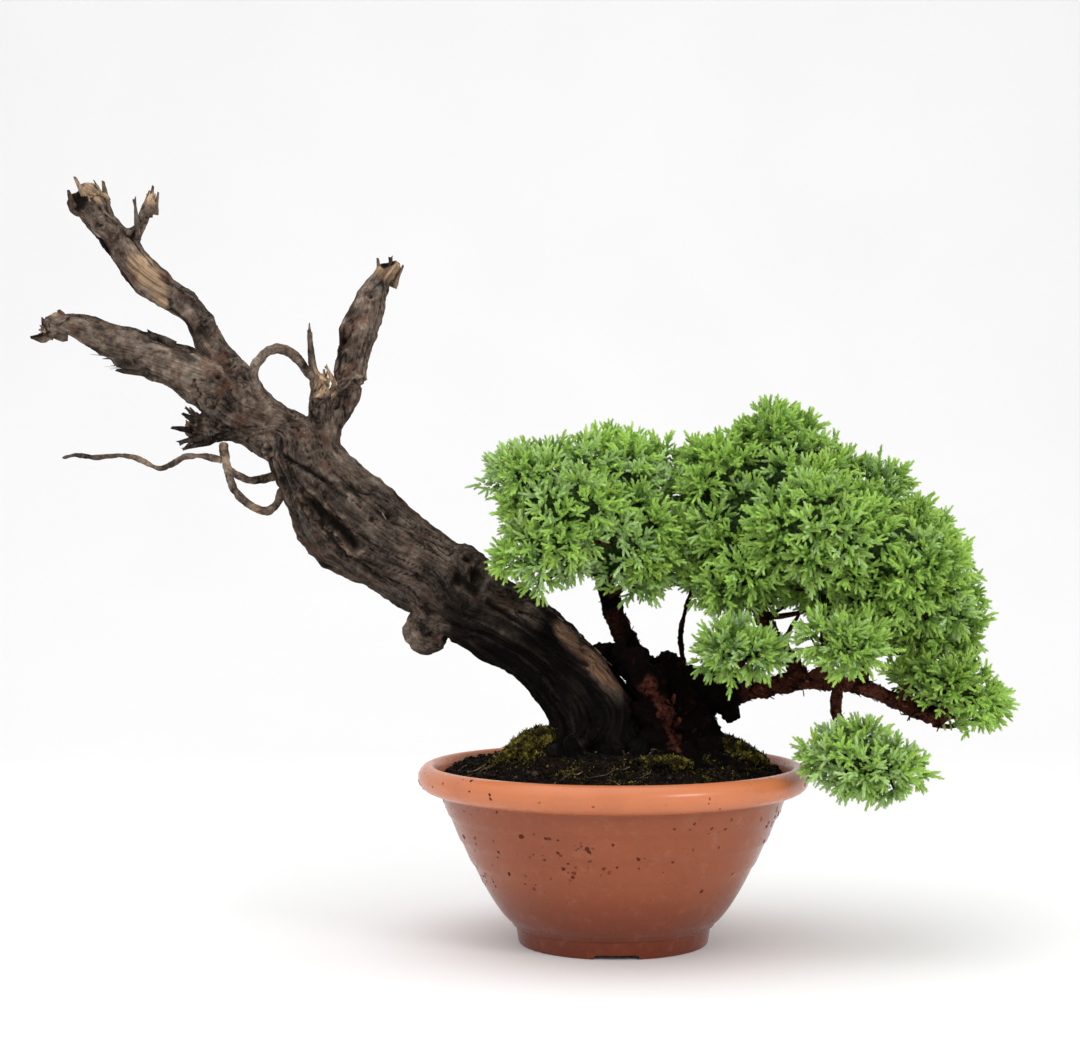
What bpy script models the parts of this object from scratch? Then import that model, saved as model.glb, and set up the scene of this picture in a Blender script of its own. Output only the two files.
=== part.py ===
"""A juniper bonsai with a long dead trunk, planted in a round plastic bowl.

Sizes are in millimetres and turned into metres by MM. Every place is given from
the pot's axis (x = 0, y = 0) and from the surface that the pot stands on (z = 0).
A limb is a list of stations, (x, y, z, radius), from its root to its tip.
"""

import math

import bmesh
import bpy
from mathutils import Vector, noise

MM = 0.001
COLLECTION_NAME = "bonsai_tree_in_pot"
WELD = 0.01
GAP = 0.45
PAD_GAP = 0.8
CURVE_STEPS = 2
POT_AXIS_X = 62

RIM_RADIUS = 150
POT_HEIGHT = 137
WALL = 3
LIP_DROP = 25
LIP_INNER_RADIUS = 138
STEP_HEIGHTS = (62, 79)
STEP_DEPTH = 1.2
FOOT_RADIUS = 74
FOOT_HEIGHT = 14
FOOT_RING_WIDTH = 7
FLOOR_UNDERSIDE = 6
FLOOR_THICKNESS = 3
POT_SEGMENTS = 32
WALL_POINTS = 7

NOTCH_COUNT = 3
NOTCH_WIDTH = 30
NOTCH_HEIGHT = 4
DRAIN_COUNT = 4
DRAIN_RADIUS = 6
DRAIN_CIRCLE = 42

SOIL_EDGE_HEIGHT = 127
MOUND_RISE = 30
MOUND_CENTRE = (6, 4)
MOUND_SPREAD = (88, 72)
SOIL_LUMP = 3
SOIL_LUMP_SPACING = 26
SOIL_RINGS = 6

DEAD_TRUNK = [
    (2, 0, 98, 37), (-2, 0, 122, 40), (-6, 0, 150, 38), (-20, 0, 182, 34), (-47, 0, 216, 29),
    (-83, 0, 245, 32), (-112, 0, 260, 32), (-140, 0, 282, 33), (-172, 0, 303, 36),
    (-198, 0, 320, 39), (-217, 0, 341, 36), (-231, 0, 364, 31), (-244, 0, 383, 26),
]
DEAD_LIMBS = {
    "lower": [
        (-228, 0, 366, 26), (-250, -2, 386, 24), (-279, -6, 405, 23), (-305, -12, 423, 19),
        (-331, -18, 440, 17), (-357, -22, 450, 15), (-382, -26, 458, 13), (-404, -30, 468, 11),
        (-419, -32, 472, 9), (-430, -34, 467, 5),
    ],
    "upper": [
        (-236, 0, 372, 18), (-251, 2, 388, 16), (-275, 8, 415, 12), (-296, 16, 439, 11),
        (-313, 24, 460, 12), (-324, 30, 480, 12), (-336, 34, 493, 12), (-354, 36, 501, 12),
        (-368, 36, 511, 11), (-381, 34, 526, 12), (-393, 30, 545, 12), (-401, 26, 561, 12),
        (-407, 22, 575, 11), (-410, 20, 588, 6),
    ],
    "upper_fork": [
        (-379, 34, 524, 8), (-382, 32, 540, 8), (-372, 30, 554, 6), (-365, 28, 568, 5),
        (-361, 26, 583, 2.5),
    ],
    "right": [
        (-228, 2, 368, 18), (-222, 4, 389, 15), (-208, 10, 421, 12), (-203, 20, 448, 12),
        (-194, 28, 475, 10), (-186, 34, 500, 8), (-178, 38, 525, 6.5),
    ],
    "right_stub": [(-226, -2, 378, 14), (-222, -8, 395, 13), (-224, -14, 416, 10), (-220, -18, 435, 6)],
    "spike": [(-223, -12, 408, 6), (-229, -17, 437, 4), (-231, -20, 457, 2.6), (-232, -22, 477, 1.4)],
    "torn_stub": [(-288, -6, 394, 12), (-308, -12, 392, 9), (-326, -16, 393, 5)],
}
DEAD_KNOBS = [(-116, -12, 288, 19), (-144, -8, 240, 18)]
DEAD_TWIGS = {
    "dead_twig_loop": [
        (-240, -4, 392, 5), (-254, -14, 408, 4.6), (-265, -20, 414, 4.4), (-271, -26, 424, 4.2),
        (-273, -30, 436, 4), (-266, -32, 448, 4), (-255, -32, 454, 4), (-243, -28, 449, 4),
        (-235, -22, 440, 4), (-226, -16, 428, 4),
    ],
    "dead_twig_hook": [
        (-298, -8, 398, 5), (-298, -12, 377, 4), (-294, -16, 361, 3.5), (-289, -20, 347, 3.5),
        (-280, -22, 338, 3.5), (-267, -20, 331, 3.5), (-259, -14, 334, 3.5), (-255, -8, 344, 4),
        (-248, -2, 360, 5),
    ],
    "dead_twig_trailing": [
        (-296, -13, 368, 3.2), (-307, -16, 372, 2.8), (-318, -18, 373, 2.5), (-327, -20, 372, 2.5),
        (-336, -26, 366, 2.8), (-345, -30, 363, 2.4), (-356, -34, 369, 2.4), (-373, -36, 373, 2.3),
        (-390, -38, 371, 2.3), (-405, -40, 373, 2), (-415, -42, 370, 1.6),
    ],
    "dead_twig_short": [(-296, -14, 364, 3.6), (-286, -8, 357, 3.2), (-274, -2, 355, 3.5), (-256, 4, 360, 4.6)],
}

LIVE_TRUNK = [
    (58, 14, 98, 31), (58, 14, 120, 32), (58, 16, 146, 30), (52, 20, 174, 26), (41, 24, 197, 21),
    (30, 26, 211, 17),
]
LIVE_LIMBS = {
    "shoulder": [(44, 22, 182, 20), (64, 20, 191, 20), (88, 14, 190, 15)],
    "stub": [(34, 26, 206, 12), (7, 30, 215, 8), (-11, 34, 221, 5.5), (-21, 36, 224, 3)],
    "root": [(60, 6, 150, 16), (82, -6, 136, 12), (104, -20, 122, 8)],
}
BRANCHES = {
    "stem_left": [
        (30, 24, 200, 11), (22, 24, 213, 10), (11, 24, 231, 9), (3, 22, 248, 8.6), (-3, 18, 267, 8),
        (-10, 12, 289, 6.2), (-14, 6, 310, 4.6),
    ],
    "twig_upright": [
        (59, 32, 198, 2.4), (56, 40, 220, 2.2), (55, 43, 234, 2.1), (58, 43, 250, 2.1), (66, 38, 274, 2),
    ],
    "branch_right": [
        (80, 14, 190, 12), (102, 4, 193, 9.5), (124, -4, 197, 8), (147, -8, 201, 7.7), (172, -10, 200, 7),
        (195, -10, 195, 6.5), (216, -8, 186, 6), (234, -4, 177, 5.8), (250, 0, 170, 4.5),
    ],
    "branch_centre": [
        (147, -6, 201, 6.6), (139, 6, 213, 6.4), (128, 16, 228, 6.3), (118, 24, 248, 6.3),
        (110, 28, 274, 5.5), (113, 28, 309, 4.7), (124, 24, 345, 4),
    ],
    "branch_crown": [
        (190, -10, 197, 5.6), (190, -6, 224, 5.8), (183, -16, 254, 5.7), (179, -20, 280, 5.3),
        (183, -10, 305, 4.6), (195, 0, 330, 4),
    ],
    "stem_hanging": [
        (172, -12, 198, 4.6), (168, -26, 186, 4.2), (167, -44, 174, 4.2), (170, -64, 160, 3.8),
        (176, -84, 148, 3),
    ],
    "branchlet_front": [(104, 2, 194, 5), (98, -20, 204, 4.5), (94, -42, 214, 3.8), (92, -60, 224, 3)],
    "branchlet_middle": [(150, -10, 202, 5), (158, -34, 212, 4.3), (166, -62, 226, 3.5)],
}

FOLIAGE = {
    "foliage_left": [
        (-66, -22, 357, 36, 40, 34), (0, 12, 360, 44, 48, 38), (-53, -32, 303, 43, 42, 36),
        (18, -4, 302, 46, 52, 42), (-40, 38, 330, 46, 44, 40), (-34, -44, 334, 38, 34, 34),
    ],
    "foliage_crown": [
        (131, 18, 375, 44, 52, 42), (80, 8, 350, 40, 56, 42), (94, -8, 292, 46, 66, 46),
        (187, 8, 334, 48, 66, 42), (228, 4, 292, 48, 62, 50), (192, -4, 272, 48, 72, 42),
        (246, 0, 252, 46, 56, 40), (104, 72, 318, 56, 52, 54), (184, 78, 300, 62, 54, 54),
        (150, -62, 318, 54, 48, 46), (214, -58, 288, 48, 44, 42),
    ],
    "foliage_front": [(92, -66, 226, 37, 36, 25)],
    "foliage_middle": [(168, -76, 233, 37, 36, 28)],
    "foliage_right": [(258, -8, 200, 46, 50, 40), (238, -14, 176, 30, 36, 24), (284, -6, 184, 26, 32, 24)],
    "foliage_low": [(176, -86, 147, 45, 38, 31), (199, -84, 139, 28, 30, 22), (156, -85, 153, 26, 28, 20)],
}
FOLIAGE_VOXEL = 17
MOSS_VOXEL = 9

MOSS = {
    "moss_left": [(-64, -16, 146, 24, 26, 17), (-78, -4, 140, 20, 24, 13)],
    "moss_right": [(98, 6, 143, 26, 34, 10)],
    "moss_front": [(34, -62, 141, 30, 20, 7)],
}

POT_COLOUR = (0.52, 0.17, 0.09)
SOIL_COLOUR = (0.045, 0.032, 0.024)
MOSS_COLOUR = (0.14, 0.16, 0.03)
DEADWOOD_COLOUR = (0.13, 0.10, 0.08)
BARK_COLOUR = (0.12, 0.05, 0.035)
LEAF_COLOUR = (0.10, 0.28, 0.06)


def clear_scene():
    """Empty the file, so that only the bonsai is in it."""
    for old in list(bpy.data.objects):
        bpy.data.objects.remove(old, do_unlink=True)


def new_collection(name):
    collection = bpy.data.collections.new(name)
    bpy.context.scene.collection.children.link(collection)
    return collection


def new_material(name, colour, roughness, metallic=0.0):
    """A Principled material of one colour."""
    material = bpy.data.materials.new(name)
    material.use_nodes = True
    shader = material.node_tree.nodes["Principled BSDF"]
    shader.inputs["Base Color"].default_value = (*colour, 1.0)
    shader.inputs["Roughness"].default_value = roughness
    shader.inputs["Metallic"].default_value = metallic
    material.diffuse_color = (*colour, 1.0)
    return material


def place(name, data, parts, axis):
    """Make an object of some data, in the bonsai's collection and on the pot's axis."""
    piece = bpy.data.objects.new(name, data)
    parts.objects.link(piece)
    piece.parent = axis
    return piece


def finish(piece, material):
    """Give a piece its own material and smooth shading with crisp edges."""
    piece.data.materials.clear()
    piece.data.materials.append(material)
    piece.data.shade_smooth()
    piece.data.set_sharp_from_angle(angle=math.radians(40))


def bake(piece):
    """Replace a piece's data by the mesh that its modifiers or its curve make, in flat triangles."""
    bpy.context.view_layer.update()
    evaluated = piece.evaluated_get(bpy.context.evaluated_depsgraph_get())
    mesh = bpy.data.meshes.new_from_object(evaluated)
    name = piece.name
    collection = piece.users_collection[0]
    axis = piece.parent
    bpy.data.objects.remove(piece, do_unlink=True)
    baked = place(name, mesh, collection, axis)
    edit(baked, lambda shape: bmesh.ops.triangulate(shape, faces=shape.faces))
    return baked


def edit(piece, change):
    """Run a change on a piece's mesh as a bmesh."""
    shape = bmesh.new()
    shape.from_mesh(piece.data)
    change(shape)
    shape.to_mesh(piece.data)
    shape.free()


def weld(piece):
    """Join the loose caps of a tube to its wall."""
    edit(piece, lambda shape: bmesh.ops.remove_doubles(shape, verts=shape.verts, dist=WELD * MM))


def combine(piece, other, operation):
    """Apply one Boolean with another piece, which is then removed."""
    boolean = piece.modifiers.new(operation.lower(), "BOOLEAN")
    boolean.operation = operation
    boolean.solver = "EXACT"
    boolean.use_self = True
    boolean.object = other
    piece = bake(piece)
    bpy.data.objects.remove(other, do_unlink=True)
    return piece


def carve(piece, carriers, gap=GAP):
    """Cut a piece clear of its carriers, which leaves it seated on them with a hair's gap."""
    for carrier in carriers:
        cutter = place(carrier.name + "_cutter", carrier.data.copy(), piece.users_collection[0], piece.parent)
        swell = cutter.modifiers.new("swell", "DISPLACE")
        swell.strength = gap * MM
        swell.mid_level = 0
        cutter = bake(cutter)
        piece = combine(piece, cutter, "DIFFERENCE")
    edit(piece, drop_chips)
    return piece


def islands_of(shape):
    """The separate bodies of a bmesh, as lists of vertices."""
    waiting = set(shape.verts)
    islands = []
    while waiting:
        front = [waiting.pop()]
        island = []
        while front:
            vertex = front.pop()
            island.append(vertex)
            for edge in vertex.link_edges:
                other = edge.other_vert(vertex)
                if other in waiting:
                    waiting.remove(other)
                    front.append(other)
        islands.append(island)
    return islands


def drop_chips(shape):
    """Keep the largest body only, where a cut has left chips."""
    islands = sorted(islands_of(shape), key=len)
    chips = [vertex for island in islands[:-1] for vertex in island]
    bmesh.ops.delete(shape, geom=chips, context="VERTS")
    bmesh.ops.remove_doubles(shape, verts=shape.verts, dist=WELD * MM)
    bmesh.ops.dissolve_degenerate(shape, edges=shape.edges, dist=WELD * MM)


def limb(name, stations, sides, parts, axis):
    """A tapering limb: a curve through its stations, thick as each station says."""
    curve = bpy.data.curves.new(name, "CURVE")
    curve.dimensions = "3D"
    curve.bevel_depth = MM
    curve.bevel_resolution = sides // 2 - 2
    curve.use_fill_caps = True
    curve.resolution_u = CURVE_STEPS
    curve.render_resolution_u = CURVE_STEPS
    spline = curve.splines.new("BEZIER")
    spline.bezier_points.add(len(stations) - 1)
    for point, (x, y, z, radius) in zip(spline.bezier_points, stations):
        point.co = Vector((x, y, z)) * MM
        point.radius = radius
        point.handle_left_type = "AUTO"
        point.handle_right_type = "AUTO"
    tube = bake(place(name, curve, parts, axis))
    weld(tube)
    return tube


def ball(name, centre, radii, fineness, parts, axis):
    """An ellipsoid with its place and size in its mesh."""
    lump = place(name, bpy.data.meshes.new(name), parts, axis)

    def fill(shape):
        bmesh.ops.create_icosphere(shape, subdivisions=fineness, radius=MM)
        bmesh.ops.scale(shape, vec=radii, verts=shape.verts)
        bmesh.ops.translate(shape, vec=Vector(centre) * MM, verts=shape.verts)

    edit(lump, fill)
    return lump


def turned(name, profile, steps, parts, axis):
    """A round body from a half profile of (radius, height) points."""
    mesh = bpy.data.meshes.new(name)
    points = [(radius * MM, 0, height * MM) for radius, height in profile]
    mesh.from_pydata(points, [(i, i + 1) for i in range(len(points) - 1)], [])
    body = place(name, mesh, parts, axis)
    screw = body.modifiers.new("turn", "SCREW")
    screw.steps = steps
    screw.render_steps = steps
    screw.use_merge_vertices = True
    screw.merge_threshold = WELD * MM
    return bake(body)


def arc(centre, radius, start, end, count):
    """Points of an arc in the profile's plane, with its angles in degrees from +X."""
    points = []
    for index in range(count):
        angle = math.radians(start + (end - start) * index / (count - 1))
        points.append((centre[0] + radius * math.cos(angle), centre[1] + radius * math.sin(angle)))
    return points


def bowl_wall(height):
    """Outer radius of the bowl at a height between its foot and its lip, with its two faint steps."""
    lip_underside = POT_HEIGHT - LIP_DROP
    rise = (height - FOOT_HEIGHT) / (lip_underside - FOOT_HEIGHT)
    radius = FOOT_RADIUS + 4 + (LIP_INNER_RADIUS - 3 - FOOT_RADIUS - 4) * rise ** 0.72
    steps_above = sum(1 for step in STEP_HEIGHTS if step > height)
    return radius - STEP_DEPTH * steps_above


def even_heights():
    """An even run of heights from the foot to the underside of the lip."""
    rise = POT_HEIGHT - LIP_DROP - FOOT_HEIGHT
    return [FOOT_HEIGHT + rise * index / (WALL_POINTS - 1) for index in range(WALL_POINTS)]


def stepped_heights():
    """The even run with both sides of each faint step in it."""
    steps = [step + side for step in STEP_HEIGHTS for side in (-0.6, 0.6)]
    clear = [height for height in even_heights() if all(abs(height - step) > 5 for step in STEP_HEIGHTS)]
    return sorted(clear + steps)


def inner_wall():
    """The inside of the bowl from its floor's rim up to below its lip, as (radius, height)."""
    floor_top = FLOOR_UNDERSIDE + FLOOR_THICKNESS
    rising = [(bowl_wall(height) - WALL, height + 1) for height in even_heights()]
    return [(FOOT_RADIUS - FOOT_RING_WIDTH + 2, floor_top)] + rising


def make_pot(parts, axis):
    """The bowl: a thin wall with a rolled lip, a notched foot ring and drain holes."""
    floor_top = FLOOR_UNDERSIDE + FLOOR_THICKNESS
    lip_underside = POT_HEIGHT - LIP_DROP
    lip_inner = LIP_INNER_RADIUS
    inside = [(0, floor_top)] + inner_wall() + [(lip_inner, POT_HEIGHT - 6)]
    crest = arc((lip_inner + 4, POT_HEIGHT - 4), 4, 180, 90, 4)
    outer = arc((RIM_RADIUS - 8, POT_HEIGHT - 9), 8, 80, 0, 4)
    hem = [(RIM_RADIUS, POT_HEIGHT - 18), (RIM_RADIUS - 1.5, lip_underside + 2), (RIM_RADIUS - 4, lip_underside)]
    outside = [(bowl_wall(height), height) for height in reversed(stepped_heights())]
    foot = [
        (FOOT_RADIUS + 1, FOOT_HEIGHT - 3), (FOOT_RADIUS, 1.5), (FOOT_RADIUS - 1.5, 0),
        (FOOT_RADIUS - FOOT_RING_WIDTH, 0), (FOOT_RADIUS - FOOT_RING_WIDTH - 1, FLOOR_UNDERSIDE),
        (0, FLOOR_UNDERSIDE),
    ]
    pot = turned("pot", inside + crest + outer + hem + outside + foot, POT_SEGMENTS, parts, axis)
    for index in range(NOTCH_COUNT):
        angle = math.radians(-90 + index * 360 / NOTCH_COUNT)
        pot = combine(pot, notch(angle, parts, axis), "DIFFERENCE")
    for index in range(DRAIN_COUNT):
        angle = math.radians(45 + index * 360 / DRAIN_COUNT)
        pot = combine(pot, drain(angle, parts, axis), "DIFFERENCE")
    return pot


def notch(angle, parts, axis):
    """The block that cuts one water notch through the foot ring."""
    block = place("notch_cutter", bpy.data.meshes.new("notch_cutter"), parts, axis)

    def fill(shape):
        bmesh.ops.create_cube(shape, size=MM)
        depth = FOOT_RING_WIDTH * 3
        bmesh.ops.scale(shape, vec=(depth, NOTCH_WIDTH, 2 * NOTCH_HEIGHT), verts=shape.verts)
        bmesh.ops.translate(shape, vec=((FOOT_RADIUS - 3) * MM, 0, 0), verts=shape.verts)
        turn = Vector((math.cos(angle), math.sin(angle), 0)).to_track_quat("X", "Z").to_matrix()
        bmesh.ops.transform(shape, matrix=turn.to_4x4(), verts=shape.verts)

    edit(block, fill)
    return block


def drain(angle, parts, axis):
    """The plug that cuts one drain hole through the floor."""
    plug = place("drain_cutter", bpy.data.meshes.new("drain_cutter"), parts, axis)

    def fill(shape):
        bmesh.ops.create_cone(shape, cap_ends=True, segments=16, radius1=DRAIN_RADIUS * MM,
                              radius2=DRAIN_RADIUS * MM, depth=6 * FLOOR_THICKNESS * MM)
        centre = Vector((math.cos(angle) * DRAIN_CIRCLE, math.sin(angle) * DRAIN_CIRCLE, FLOOR_UNDERSIDE))
        bmesh.ops.translate(shape, vec=centre * MM, verts=shape.verts)

    edit(plug, fill)
    return plug


def mound(x, y):
    """Height of the soil's surface over a point, as rise above the soil's edge."""
    across = (x - MOUND_CENTRE[0]) / MOUND_SPREAD[0]
    along = (y - MOUND_CENTRE[1]) / MOUND_SPREAD[1]
    lump = noise.noise(Vector((x, y, 0)) / SOIL_LUMP_SPACING) * SOIL_LUMP
    return MOUND_RISE * math.exp(-across ** 2 - along ** 2) + lump


def make_soil(parts, axis):
    """The soil: it fills the bowl and rises to a mound around the trunks."""
    wall = [(radius - GAP, height) for radius, height in inner_wall() if height < SOIL_EDGE_HEIGHT - 10]
    floor = FLOOR_UNDERSIDE + FLOOR_THICKNESS + GAP
    edge = (LIP_INNER_RADIUS - WALL - 1, SOIL_EDGE_HEIGHT)
    rings = [(edge[0] * index / SOIL_RINGS, SOIL_EDGE_HEIGHT) for index in range(SOIL_RINGS)]
    sides = [point for point in reversed(wall) if point[1] > floor + 2]
    profile = rings + [edge] + sides + [(FOOT_RADIUS - FOOT_RING_WIDTH - 1, floor), (0, floor)]
    soil = turned("soil", profile, POT_SEGMENTS, parts, axis)

    def heap(shape):
        for vertex in shape.verts:
            x, y, z = vertex.co / MM
            inside = 1 - math.hypot(x, y) / edge[0]
            if z > SOIL_EDGE_HEIGHT - 1 and inside > 0.01:
                vertex.co.z += mound(x, y) * min(1, inside * 5) * MM

    edit(soil, heap)
    return soil


def make_deadwood(parts, axis):
    """The dead trunk, grown as one piece with its broken limbs and knobs."""
    trunk = limb("deadwood_trunk", DEAD_TRUNK, 12, parts, axis)
    for name, stations in DEAD_LIMBS.items():
        trunk = combine(trunk, limb(name, stations, 8, parts, axis), "UNION")
    for x, y, z, radius in DEAD_KNOBS:
        knob = ball("knob", (x, y, z), (radius, radius, radius), 2, parts, axis)
        trunk = combine(trunk, knob, "UNION")
    return trunk


def make_live_trunk(parts, axis, deadwood):
    """The living trunk, which grows up against the dead one."""
    trunk = limb("live_trunk", LIVE_TRUNK, 14, parts, axis)
    for name, stations in LIVE_LIMBS.items():
        trunk = combine(trunk, limb(name, stations, 10, parts, axis), "UNION")
    return carve(trunk, [deadwood])


def make_branches(parts, axis, trunks):
    """The limbs that carry the foliage, each seated on what carries it."""
    made = {}
    for name, stations in BRANCHES.items():
        branch = limb(name, stations, 6, parts, axis)
        made[name] = carve(branch, trunks + list(made.values()))
    return made


def make_twigs(parts, axis, deadwood):
    """The thin dead twigs, each seated on the dead trunk or on the twig before it."""
    made = {}
    for name, stations in DEAD_TWIGS.items():
        twig = limb(name, stations, 6, parts, axis)
        made[name] = carve(twig, [deadwood] + list(made.values()))
    return made


def lumpy(name, lumps, voxel, parts, axis):
    """One closed soft form around several ellipsoids."""
    form = ball(name, lumps[0][:3], lumps[0][3:], 2, parts, axis)
    for lump in lumps[1:]:
        extra = ball("lump", lump[:3], lump[3:], 2, parts, axis)
        form = combine(form, extra, "UNION")
    remesh = form.modifiers.new("even", "REMESH")
    remesh.mode = "VOXEL"
    remesh.voxel_size = voxel * MM
    return bake(form)


def make_foliage(parts, axis, wood):
    """The pads of foliage, each the outer form of its sprays, cut clear of the wood in it."""
    made = {}
    for name, lumps in FOLIAGE.items():
        pad = lumpy(name, lumps, FOLIAGE_VOXEL, parts, axis)
        pad = carve(pad, wood)
        made[name] = carve(pad, list(made.values()), PAD_GAP)
    return made


def make_moss(parts, axis, ground):
    """The cushions of moss, each lying on the soil."""
    made = {}
    for name, lumps in MOSS.items():
        cushion = lumpy(name, lumps, MOSS_VOXEL, parts, axis)
        made[name] = carve(cushion, ground + list(made.values()))
    return made


def main():
    clear_scene()
    parts = new_collection(COLLECTION_NAME)
    axis = bpy.data.objects.new("pot_axis", None)
    axis.location = (POT_AXIS_X * MM, 0, 0)
    parts.objects.link(axis)

    pot = make_pot(parts, axis)
    deadwood = make_deadwood(parts, axis)
    live = make_live_trunk(parts, axis, deadwood)
    heap = make_soil(parts, axis)
    moss = make_moss(parts, axis, [heap, deadwood, live])
    soil = carve(heap, [deadwood, live])
    twigs = make_twigs(parts, axis, deadwood)
    branches = make_branches(parts, axis, [live, deadwood])
    foliage = make_foliage(parts, axis, [deadwood, live] + list(branches.values()))

    finish(pot, new_material("pot_plastic", POT_COLOUR, 0.42))
    finish(soil, new_material("potting_soil", SOIL_COLOUR, 0.95))
    finish(deadwood, new_material("weathered_deadwood", DEADWOOD_COLOUR, 0.8))
    finish(live, new_material("juniper_bark", BARK_COLOUR, 0.85))
    for group, colour in ((twigs, DEADWOOD_COLOUR), (branches, BARK_COLOUR), (moss, MOSS_COLOUR),
                          (foliage, LEAF_COLOUR)):
        for name, piece in group.items():
            finish(piece, new_material(name + "_finish", colour, 0.8))


main()
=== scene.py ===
"""Looks of a juniper bonsai in a round plastic bowl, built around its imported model.

Sizes are in metres, +Z is up, and MM turns millimetres into metres. Woods, soil and moss
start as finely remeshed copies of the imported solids. The bowl and the needles are modelled.
"""

import math
from heapq import heappop, heappush

import bpy
import numpy as np
from bpy.props import FloatProperty, FloatVectorProperty, IntProperty, PointerProperty
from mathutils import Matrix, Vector, noise
from mathutils.bvhtree import BVHTree


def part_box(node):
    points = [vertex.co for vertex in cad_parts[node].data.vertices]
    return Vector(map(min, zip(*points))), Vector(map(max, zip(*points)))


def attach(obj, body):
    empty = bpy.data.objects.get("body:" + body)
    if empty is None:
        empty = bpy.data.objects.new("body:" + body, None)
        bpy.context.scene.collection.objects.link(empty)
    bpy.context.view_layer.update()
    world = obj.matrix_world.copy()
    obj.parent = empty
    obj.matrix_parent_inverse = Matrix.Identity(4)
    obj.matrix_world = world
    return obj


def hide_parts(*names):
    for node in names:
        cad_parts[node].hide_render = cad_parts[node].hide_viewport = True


bl_info = {
    "name": "Potted Juniper Bonsai",
    "version": (1, 0, 0),
    "blender": (4, 5, 0),
    "location": "View3D > Sidebar > Bonsai",
    "description": "Finishes a packed juniper bonsai: bowl, soil, moss, dead and living wood, foliage",
    "category": "Object",
}

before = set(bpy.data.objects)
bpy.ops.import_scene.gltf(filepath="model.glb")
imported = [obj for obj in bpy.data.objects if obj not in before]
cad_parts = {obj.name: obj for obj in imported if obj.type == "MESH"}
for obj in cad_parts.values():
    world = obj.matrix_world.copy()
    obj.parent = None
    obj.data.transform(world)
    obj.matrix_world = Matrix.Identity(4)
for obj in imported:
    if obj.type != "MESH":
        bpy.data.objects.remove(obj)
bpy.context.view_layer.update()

MM = 0.001
POT_LOW, POT_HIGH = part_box("pot")
AXIS = Vector(((POT_LOW.x + POT_HIGH.x) / 2, (POT_LOW.y + POT_HIGH.y) / 2, 0))
RIM_RADIUS = (POT_HIGH.x - POT_LOW.x) / 2
POT_HEIGHT = POT_HIGH.z
UP = Vector((0, 0, 1))
GRAIN_LEAN = np.array((0.36, 0.48, 0.80))
ROLL = 6.28
GOLDEN_TURN = 2.39996
RING_WIDTH = 4 * MM
ABOVE_ALL = 0.4
BEYOND_BOWL = 0.3
FOOT_RADIUS = 70 * MM
SOIL_TOP_LOWEST = 0.118
BARK_LOWEST = 0.125
PIECE_TRIANGLES = 180000
INSIDE_VOXEL = 3.2 * MM

DEAD_TWIGS = ("dead_twig_loop", "dead_twig_hook", "dead_twig_trailing", "dead_twig_short")
BRANCHES = (
    "stem_left", "twig_upright", "branch_right", "branch_centre", "branch_crown",
    "stem_hanging", "branchlet_front", "branchlet_middle",
)
MOSSES = {"moss_left": (0.42, 0.10), "moss_right": (-0.42, -0.10), "moss_front": (0.0, -0.16)}
PADS = {
    "foliage_left": ("stem_left",),
    "foliage_crown": ("branch_centre", "branch_crown"),
    "foliage_front": ("branchlet_front",),
    "foliage_middle": ("branchlet_middle",),
    "foliage_right": ("branch_right",),
    "foliage_low": ("stem_hanging",),
}


# ---------------------------------------------------------------- shader wiring


class Wire:
    """A node's output, on which plain arithmetic adds Math nodes."""

    def __init__(self, finish, socket):
        self.finish = finish
        self.socket = socket

    def math(self, operation, first, second):
        settings = {"operation": operation}
        return self.finish.node("ShaderNodeMath", settings, {0: first, 1: second})

    def __add__(self, other):
        return self.math("ADD", self, other)

    def __radd__(self, other):
        return self.math("ADD", other, self)

    def __sub__(self, other):
        return self.math("SUBTRACT", self, other)

    def __rsub__(self, other):
        return self.math("SUBTRACT", other, self)

    def __mul__(self, other):
        return self.math("MULTIPLY", self, other)

    def __rmul__(self, other):
        return self.math("MULTIPLY", other, self)


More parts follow.
